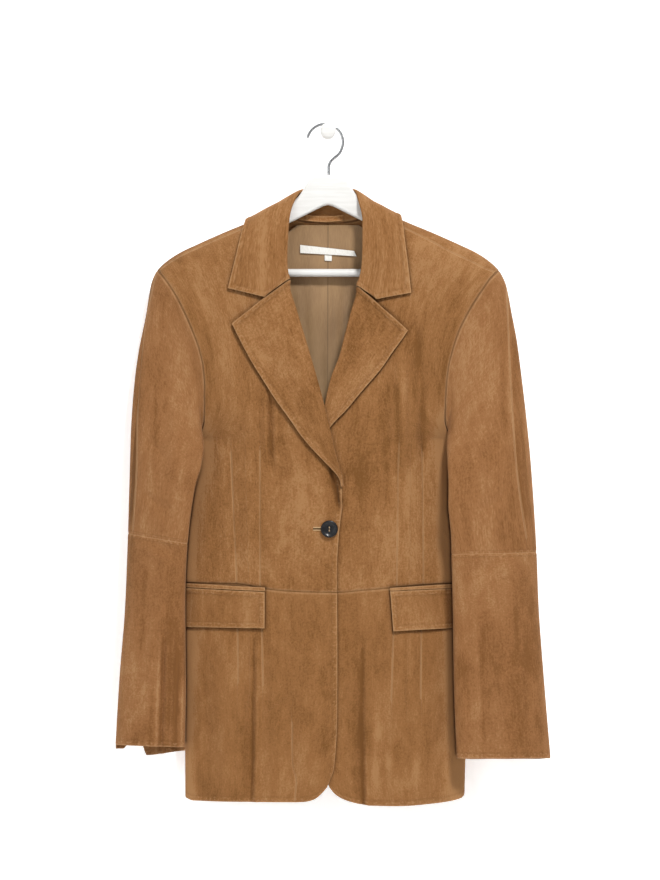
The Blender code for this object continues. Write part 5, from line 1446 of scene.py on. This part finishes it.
# Nap patches, painted shade and highlight in the creases, and painted shade on the strip.
def sleeve_nap_and_painted_shade(side, face, x, down):
    strip = STRIP_PAINTED_TONE[side] * outer_strip(side, x, down) if face == FRONT else 0
    creases = SLEEVE_CREASE_PAINTED_SHADE * fold_depth(x, down, SLEEVE_CREASES)
    return nap_tone(x, down, SLEEVE_NAP) + creases + strip


# Painted shadow on the sleeve's outer strip.
def strip_shade(side, x, down):
    return STRIP_SHADE[side] * outer_strip(side, x, down)


def make_sleeves():
    gap = SEAM / RING_STEP
    # From which ring to which, the rows, the seams and rims, and the grooved and faint seams.
    levels = {"upper": (SLEEVE_START, ELBOW_RING - gap, 110, "a0 a1 b0 b1", "", "b0", "b1"),
              "lower": (ELBOW_RING + gap, CUFF_RING, 76, "a0 a1 b0", "b1", "", "b0")}
    for side in (RIGHT, LEFT):
        for face, half in ((FRONT, "top"), (BACK, "under")):
            line, shade = ((partial(sleeve_line_distance, side), partial(strip_shade, side))
                           if face == FRONT else (None, None))
            for level, (first, last, rows, seams, rims, grooved, faint) in levels.items():
                name = f"sleeve_{half}_{level}_{SIDE_NAMES[side]}"
                piece = shell(f"suede_{name}", sleeve_half(side, face, first, last), 76, rows,
                              SUEDE, (0, -face, 0), seams, rims, line,
                              partial(sleeve_nap_and_painted_shade, side, face), shade=shade, grooved=grooved,
                              faint=faint, pull_depth=0.0)
                cloth_piece(piece, SUEDE_SLEEVE, name)


# ---- Collar and lapels ----
# The turned edge: its radius, and its share of the piece.
ROLL_RADIUS = 2.0
ROLL_SHARE = 0.1


# Lightens the whole piece's nap a little.
def evenly_lighter_tone(x, down):
    return 0 * x - 0.35


def make_collar():
    fall = rolled(collar_fall_point, ROLL_RADIUS, ROLL_SHARE, (0, 1, 0))
    piece = shell("suede_collar_fall", fall, 220, 44, SUEDE, (0, 1, 0), "", "a0 a1 b1", None,
                  evenly_lighter_tone, 2.2, brushed="across")
    cloth_piece(piece, SUEDE_COLLAR, "collar_fall")
    piece = shell("suede_collar_stand", stand_point, 90, 12, STAND_CLOTH, (0, 1, 0), "b1")
    cloth_piece(piece, SUEDE_CLOTH, "collar_stand")


def lapel_point(side, b, a):
    """A lapel's face, a across from the roll line and b down it."""
    flat = lapel_place(side, a, b)
    width = span(lapel_place(side, 0 * a + 1, b), lapel_place(side, 0 * a, b))
    belly = LAPEL_BELLY[side] * width * np.sin(math.pi * a ** LAPEL_CREST) ** 2
    return lifted(flat[:, 0], flat[:, 1], side, FRONT, LAY_ON + SUEDE + belly)


def make_lapels():
    for side in (RIGHT, LEFT):
        point = rolled(partial(lapel_point, side), ROLL_RADIUS, ROLL_SHARE, (0, -1, 0))
        name = f"lapel_{SIDE_NAMES[side]}"
        # The collar's edge throws painted shadow on the lapel.
        piece = shell(f"suede_{name}", point, 120, 50, SUEDE, (0, -1, 0), "", "a0 b1", lift=3.0,
                      shade=partial(hollow, collar_outline()), brushed="across")
        cloth_piece(piece, SUEDE_COLLAR, name)


# ---- Pockets ----
def pocket_point(corners, side, a, b):
    flat = four_corners(corners[side], a ** SIDE_CROWDING, b)
    return lifted(flat[:, 0], flat[:, 1], side, FRONT, FLAP_LIFT + SUEDE)


def make_pockets():
    for side in (RIGHT, LEFT):
        # Flaps and welts get the painted shadow along the sleeve's edge.
        shade = partial(sleeve_painted_shadow, sleeve_edge(side))
        for stem, corners, rows in (("pocket_flap", FLAP_CORNERS, 34),
                                    ("pocket_welt", WELT_CORNERS, 8)):
            name = f"{stem}_{SIDE_NAMES[side]}"
            piece = shell(f"suede_{name}", partial(pocket_point, corners, side), 80, rows, SUEDE,
                          (0, -1, 0), "", "a1 b0 b1", None, evenly_lighter_tone, 1.4, shade)
            cloth_piece(piece, SUEDE_CLOTH, name)


# ---- Lining, labels and loop ----
LINING_PLEATS = table(FOLD_COLUMNS, [
    (-40, 190, -30, 440, 2.2, 4), (-22, 150, -16, 420, 1.4, 6), (10, 190, 11, 430, 2.0, 4),
    (28, 180, 24, 440, 2.2, 4), (-46, 200, -38, 430, -1.4, 6), (42, 190, 34, 420, -1.6, 6),
    (0, 150, 1, 520, 1.2, 1.6)])
# How far the seen lining and the labels stand in from the solid lining's face.
PLEAT_ROOM = 1.2
LABEL_INSET = 2.9
LOOP_CROWN = 0.8
# Where painted light on the lower lining starts, and how far down it is full.
PAINTED_LIGHT_DOWN = 250
PAINTED_LIGHT_RUN = 120


def lining_point(a, b):
    top, foot = LINING_WIDTH["down"][0], LINING_WIDTH["down"][-1]
    down = top + (foot - top) * b
    x = smooth(LINING_WIDTH["down"], LINING_WIDTH["out"], down) * (2 * a - 1)
    rise = fold_depth(x, down, LINING_PLEATS)
    return inside_back(x, down, lining_inset(down) + PLEAT_ROOM + rise)


def centre_seam(x, down):
    return x


# Painted light on the lower lining, lifting the shade the lapels cast there.
def painted_light_below(x, down):
    return np.clip((down - PAINTED_LIGHT_DOWN) / PAINTED_LIGHT_RUN, 0, 1)


def label_point(corners, a, b):
    x, down = four_corners(corners, a, b).T
    return inside_back(x, down, lining_inset(down) + LABEL_INSET + LINING_CLOTH)


def loop_point(a, b):
    start, end = LOOP_ENDS
    arch = np.sin(math.pi * a)
    crown = LOOP_CROWN * np.sin(math.pi * b)
    return place(start + (end - start) * a, LOOP_FORE + LOOP_SWELL * arch - crown,
                 LOOP_DOWN + LOOP_SAG * arch + LOOP_STRAP * (b - 0.5))


def make_lining():
    piece = shell("twill_lining_back", lining_point, 110, 190, LINING_CLOTH, (0, 1, 0), "",
                  "a0 a1 b1", centre_seam, painted_light_below, pull_depth=0.6, brushed="down")
    cloth_piece(piece, LINING_TWILL, "lining_back")
    for name, corners in (("neck_label", LABEL_CORNERS), ("size_tab", TAB_CORNERS)):
        piece = shell(f"damask_{name}", partial(label_point, corners), 30, 10, LABEL_CLOTH,
                      (0, 1, 0))
        cloth_piece(piece, LABEL_DAMASK, name)
    piece = shell("suede_hanging_loop", loop_point, 40, 8, LOOP_CLOTH, (0, 1, 0), "", "b0 b1")
    cloth_piece(piece, SUEDE_CLOTH, "hanging_loop")


# ---- Button and buttonhole ----
# Outline of half the button, as radius and height: of its back over the back's plane, and of its
# face over the rim's crest.
BUTTON_LOW = ((10.9, 0.9), (10.2, 0.3), (9.2, 0), (0, 0))
BUTTON_HIGH = ((0, -1.35), (4.2, -1.3), (6.4, -1.15), (7.6, -0.75), (8.4, -0.2), (9.2, 0),
               (10.0, -0.1), (10.7, -0.5), (11.1, -1.1), (11.2, -1.7))
# The two strands between the holes, how far apart and deep they lie, and the plugs of thread in
# the holes.
THREAD_LEAN = 0.25
THREAD_SINK = 2.2
THREAD_RADIUS = 0.13
PLUG_RADIUS = 0.62
PLUG_DEPTH = 4
PLUG_LENGTH = 2.9
TURNED_STEPS = 96
HOLE_STEPS = 24


def turned(name, profile, x, fore, down):
    """A profile of radius and height, in millimetres, turned about an axis out of the wall."""
    bm = bmesh.new()
    verts = [bm.verts.new((radius * MM, 0, height * MM)) for radius, height in profile]
    edges = [bm.edges.new(ends) for ends in zip(verts, verts[1:])]
    bmesh.ops.spin(bm, geom=verts + edges, axis=(0, 0, 1), cent=(0, 0, 0), angle=2 * math.pi,
                   steps=TURNED_STEPS, use_merge=True)
    bmesh.ops.remove_doubles(bm, verts=bm.verts[:], dist=WELD)
    bmesh.ops.recalc_face_normals(bm, faces=bm.faces[:])
    mesh = closed(name, bm, 40)
    mesh.transform(facing_wall(x, fore, down))
    return mesh


def facing_wall(x, fore, down):
    moved = Matrix.Translation(Vector((x, -fore, -down)) * MM)
    return moved @ Matrix.Rotation(math.radians(90), 4, "X")


def hard_piece(name, mesh, look, slot, *node_names):
    piece = keep(name, mesh)
    piece.data.materials.append(look)
    if node_names:
        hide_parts(*node_names)
    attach(piece, "root")
    return piece


def as_drawn(piece):
    """An object with its curves or modifiers carried out."""
    return piece.evaluated_get(bpy.context.evaluated_depsgraph_get())


def tube(name, route, radius, resolution, look, slot, *node_names, shrink=None):
    """A round bar through route, points in millimetres as x, fore, down."""
    curve = bpy.data.curves.new(name, "CURVE")
    curve.dimensions = "3D"
    curve.bevel_depth = radius * MM
    curve.bevel_resolution = resolution
    curve.use_fill_caps = True
    spline = curve.splines.new("POLY")
    spline.points.add(len(route) - 1)
    for i, (point, (x, fore, down)) in enumerate(zip(spline.points, route)):
        point.co = (x * MM, -fore * MM, -down * MM, 1)
        if shrink:
            point.radius = shrink[i]
    guide = bpy.data.objects.new(name, curve)
    bpy.context.scene.collection.objects.link(guide)
    rough = bpy.data.meshes.new_from_object(as_drawn(guide))
    bpy.data.objects.remove(guide, do_unlink=True)
    bm = bmesh.new()
    bm.from_mesh(rough)
    bpy.data.meshes.remove(rough)
    bmesh.ops.remove_doubles(bm, verts=bm.verts[:], dist=WELD)
    bmesh.ops.recalc_face_normals(bm, faces=bm.faces[:])
    hard_piece(name, closed(name, bm), look, slot, *node_names)


def make_button():
    x, down = BUTTON_PLACE
    base = float(panel_fore(np.array([x]), np.array([down]), RIGHT, FRONT)[0])
    start = base + SEAM + HOLE_HEIGHT + SEAM
    top = BUTTON_HEIGHT
    profile = [(radius, top + height) for radius, height in BUTTON_HIGH] + list(BUTTON_LOW)
    mesh = turned("button", profile, x, start, down)
    button = hard_piece("horn_button_disc", mesh, DARK_HORN, "horn_button", "button")
    cutter = bpy.data.meshes.new("holes")
    bm = bmesh.new()
    for end in (-1, 1):
        middle = Matrix.Translation((0, end * BUTTON_HOLE_SPREAD * MM, 0))
        radius = BUTTON_HOLE_RADIUS * MM
        bmesh.ops.create_cone(bm, cap_ends=True, segments=HOLE_STEPS, radius1=radius,
                              radius2=radius, depth=4 * top * MM, matrix=middle)
    bm.to_mesh(cutter)
    bm.free()
    cutter.transform(facing_wall(x, start, down))
    pierced(button, cutter)
    for i, side in enumerate((-1, 1)):
        route = []
        for t in np.linspace(0, 1, 13):
            rise = start + top - THREAD_SINK + max(math.sin(math.pi * t), 0) ** 0.5
            route.append((x + side * THREAD_LEAN, rise, down + BUTTON_HOLE_SPREAD * (2 * t - 1)))
        tube(f"button_thread_{i}", route, THREAD_RADIUS, 3, TAN_THREAD, "horn_button")
        at_down = down + side * BUTTON_HOLE_SPREAD
        route = [(x, start + top - PLUG_DEPTH + PLUG_LENGTH * t, at_down)
                 for t in np.linspace(0, 1, 5)]
        tube(f"button_thread_end_{i}", route, PLUG_RADIUS, 4, TAN_THREAD, "horn_button")


def pierced(piece, cutter_mesh):
    """Cut the piece by a mesh and keep the result as its own mesh."""
    cutter = bpy.data.objects.new("cutter", cutter_mesh)
    bpy.context.scene.collection.objects.link(cutter)
    boolean = piece.modifiers.new("cut", "BOOLEAN")
    boolean.operation = "DIFFERENCE"
    boolean.object = cutter
    made = bpy.data.meshes.new_from_object(as_drawn(piece))
    piece.modifiers.clear()
    made.name = piece.data.name
    piece.data = made
    bpy.data.objects.remove(cutter, do_unlink=True)


LIP_WIDTH = 2.6
LIP_CROWN = 1.2
LIP_CLOTH = 0.6
# The lips lie this far off the front, and their ends come down steeply.
LIP_LIFT = 0.3
LIP_END_POWER = 12
# How light the lips are rubbed, how far from the slit and how wide, then how dark the painted
# shade in the slit is, and how much more beyond the middle, under the button.
LIP_LIGHT = 2.5
LIP_TOP = 1.7
LIP_TOP_WIDTH = 0.8
SLIT_SHADE = 1.2
SLIT_MORE = 0.5
SLIT_WIDTH = 1.0


def lip_point(a, b):
    """Two suede lips that meet in a slit darkened with painted shade, stitched at the ends."""
    x, down = HOLE_MIDDLE
    along_x = x + HOLE_LENGTH / 2 * (2 * a - 1)
    across = LIP_WIDTH * (2 * b - 1)
    fore = panel_fore(along_x, down + across, RIGHT, FRONT) + LIP_LIFT
    lip = 2 * np.abs(across) / LIP_WIDTH - 1
    crown = LIP_CROWN * np.sqrt(np.maximum(1 - lip ** 2, 0)) * (1 - (2 * a - 1) ** LIP_END_POWER)
    return place(along_x, fore + crown, down + across)


def light_lips(x, down):
    return -LIP_LIGHT * bell(np.abs(down - HOLE_MIDDLE[1]) - LIP_TOP, LIP_TOP_WIDTH)


# Painted shade in the slit between the lips, deeper on the side under the button.
def slit(x, down):
    dark = SLIT_SHADE + SLIT_MORE * (x > HOLE_MIDDLE[0])
    return dark * bell(down - HOLE_MIDDLE[1], SLIT_WIDTH)


def make_buttonhole():
    piece = shell("suede_buttonhole_lips", lip_point, 40, 28, LIP_CLOTH, (0, -1, 0),
                  nap=light_lips, shade=slit)
    cloth_piece(piece, SUEDE_BINDING, "buttonhole")


# ---- Hanger and knob ----
# Outline of half the knob, as radius and height from the wall.
KNOB_OUTLINE = (
    (0, 40), (4, 40), (6.4, 39.8), (8.2, 39), (9.5, 37.8), (10.2, 36.2), (10.4, 34.6), (10.2, 33),
    (9.4, 31.5), (8.0, 30.7), (6.6, 30.2), (6.2, 29), (6.2, 7), (6.5, 5.6), (7.4, 4.6), (9.2, 4.0),
    (9.5, 3.4), (9.5, 0), (0, 0))
HOOK_BEND_STEPS = 60
HANGER_ROUND = 4.2


def make_knob():
    hard_piece("lacquered_wall_knob", turned("wall_knob", KNOB_OUTLINE, 0, 0, 0), WHITE_LACQUER,
               "white_lacquer", "wall_knob")


def make_hook():
    route = []
    for share in np.linspace(0, 1, HOOK_BEND_STEPS + 1):
        angle = math.radians(HOOK_TIP_ANGLE + (HOOK_END_ANGLE - HOOK_TIP_ANGLE) * share)
        route.append((HOOK_MIDDLE[0] + HOOK_BEND * math.cos(angle), HANGER_FORE,
                      HOOK_MIDDLE[1] - HOOK_BEND * math.sin(angle)))
    neck = np.array([route[-1][::2], *HOOK_NECK])
    for x, down in along(neck, np.linspace(0, 1, 41))[1:]:
        route.append((x, HANGER_FORE, down))
    # The tip of the wire is filed round.
    shrink = [0.55, 0.85] + [1.0] * (len(route) - 2)
    tube("wire_hanger_hook", route, HOOK_RADIUS, 8, PLATED_WIRE, "plated_wire", "hanger_hook",
         shrink=shrink)


def make_hanger():
    top = along(points_of(HANGER_TOP, "out", "down"), np.linspace(0, 1, 60))
    half = np.concatenate([top, points_of(HANGER_FOOT, "out", "down")])
    outline = [*half, *((-x, down) for x, down in half[::-1] if x > 0.01)]
    bm = bmesh.new()
    back = -(HANGER_FORE - HANGER_THICKNESS / 2) * MM
    face = bm.faces.new([bm.verts.new((x * MM, back, -down * MM)) for x, down in outline])
    grown = bmesh.ops.extrude_face_region(bm, geom=[face])
    front = [item for item in grown["geom"] if isinstance(item, bmesh.types.BMVert)]
    bmesh.ops.translate(bm, verts=front, vec=(0, -HANGER_THICKNESS * MM, 0))
    bmesh.ops.recalc_face_normals(bm, faces=bm.faces[:])
    rim = [edge for edge in bm.edges if abs(edge.verts[0].co.y - edge.verts[1].co.y) < 1e-6]
    bmesh.ops.bevel(bm, geom=rim, offset=HANGER_ROUND * MM, offset_type="OFFSET", segments=6,
                    profile=0.5, affect="EDGES", clamp_overlap=True, material=-1)
    bmesh.ops.triangulate(bm, faces=[f for f in bm.faces if len(f.verts) > 4])
    hard_piece("lacquered_hanger_body", closed("hanger_body", bm, 35), WHITE_LACQUER,
               "white_lacquer", "hanger_body")
    route = [(x, HANGER_FORE, BAR_DOWN) for x in np.linspace(-BAR_HALF, BAR_HALF, 25)]
    tube("lacquered_trouser_bar", route, BAR_RADIUS, 10, WHITE_LACQUER, "white_lacquer",
         "hanger_bar")


# ---- Room, light and camera ----
def plane(name, corners, look):
    bm = bmesh.new()
    bm.faces.new([bm.verts.new(corner) for corner in corners])
    piece = keep(name, closed(name, bm))
    piece.data.materials.append(look)


def room_finish(name, code, glow):
    """Matt white paint, lit a little from within and clear from behind."""
    made, add, shader, _ = begun(name, Base_Color=linear(code), Roughness=0.95,
                                 Specular_IOR_Level=0.1, Emission_Color=linear("#FFFFFF"),
                                 Emission_Strength=glow)
    both = (add("NewGeometry", out="Backfacing"), shader.outputs[0], add("BsdfTransparent"))
    fill(made.node_tree.nodes["Material Output"], {"Surface": add("MixShader", both)})
    return made


def lamp(name, place_at, aim, size, power, colour="#FFFFFF"):
    light = bpy.data.lights.new(name, "AREA")
    light.shape = "RECTANGLE"
    light.size, light.size_y = size
    light.energy = power
    light.color = linear(colour)[:3]
    piece = bpy.data.objects.new(name, light)
    piece.location = place_at
    piece.rotation_euler = (Vector(aim) - Vector(place_at)).to_track_quat("-Z", "Y").to_euler()
    bpy.context.scene.collection.objects.link(piece)


def make_room():
    wall = room_finish("matt_white_wall_paint", "#FFFFFF", 0.44)
    floor = room_finish("matt_pale_floor", "#F2F1EF", 0.0)
    plane("wall_backdrop", [(-3, 0, -1.6), (3, 0, -1.6), (3, 0, 2), (-3, 0, 2)], wall)
    plane("pale_floor", [(-3, -4, -1.6), (3, -4, -1.6), (3, 3, -1.6), (-3, 3, -1.6)], floor)
    lamp("key_from_above_right", (1.05, -3.1, 2.7), (-0.05, 0, -0.45), (0.65, 0.65), 160)
    lamp("fill_from_left", (-1.6, -2.8, -0.1), (0, 0, -0.5), (1.8, 1.8), 18)
    lamp("soft_from_behind", (0, 2.4, 0.8), (0, 0, -0.5), (2.4, 2.0), 60)
    world = bpy.data.worlds.new("studio")
    world.use_nodes = True
    world.node_tree.nodes["Background"].inputs["Color"].default_value = (1, 1, 1, 1)
    world.node_tree.nodes["Background"].inputs["Strength"].default_value = 0.3
    bpy.context.scene.world = world


# The camera looks square on: 660 x 880 pixels of 1.3 mm at the wall's hanging plane.
PIXEL = 1.3
KNOB_PIXEL = (328, 130)
FRAME_PIXELS = (660, 880)
CAMERA_AWAY = 7.0
CLOTH_PLANE = 0.05


def make_camera():
    lens = bpy.data.cameras.new("camera")
    lens.sensor_fit = "VERTICAL"
    lens.sensor_height = 24
    high = FRAME_PIXELS[1] * PIXEL * MM
    lens.lens = 24 * (CAMERA_AWAY - CLOTH_PLANE) / high
    camera = bpy.data.objects.new("camera", lens)
    x = (FRAME_PIXELS[0] / 2 - KNOB_PIXEL[0]) * PIXEL * MM
    z = (KNOB_PIXEL[1] - FRAME_PIXELS[1] / 2) * PIXEL * MM
    camera.location = (x, -CAMERA_AWAY, z)
    camera.rotation_euler = (math.radians(90), 0, 0)
    bpy.context.scene.collection.objects.link(camera)
    bpy.context.scene.camera = camera


for make in (make_camera, make_body, make_sleeves, make_collar, make_lapels, make_pockets,
             make_lining, make_buttonhole, make_button, make_hanger, make_hook, make_knob,
             make_room):
    make()
bpy.context.scene.view_settings.view_transform = "Standard"
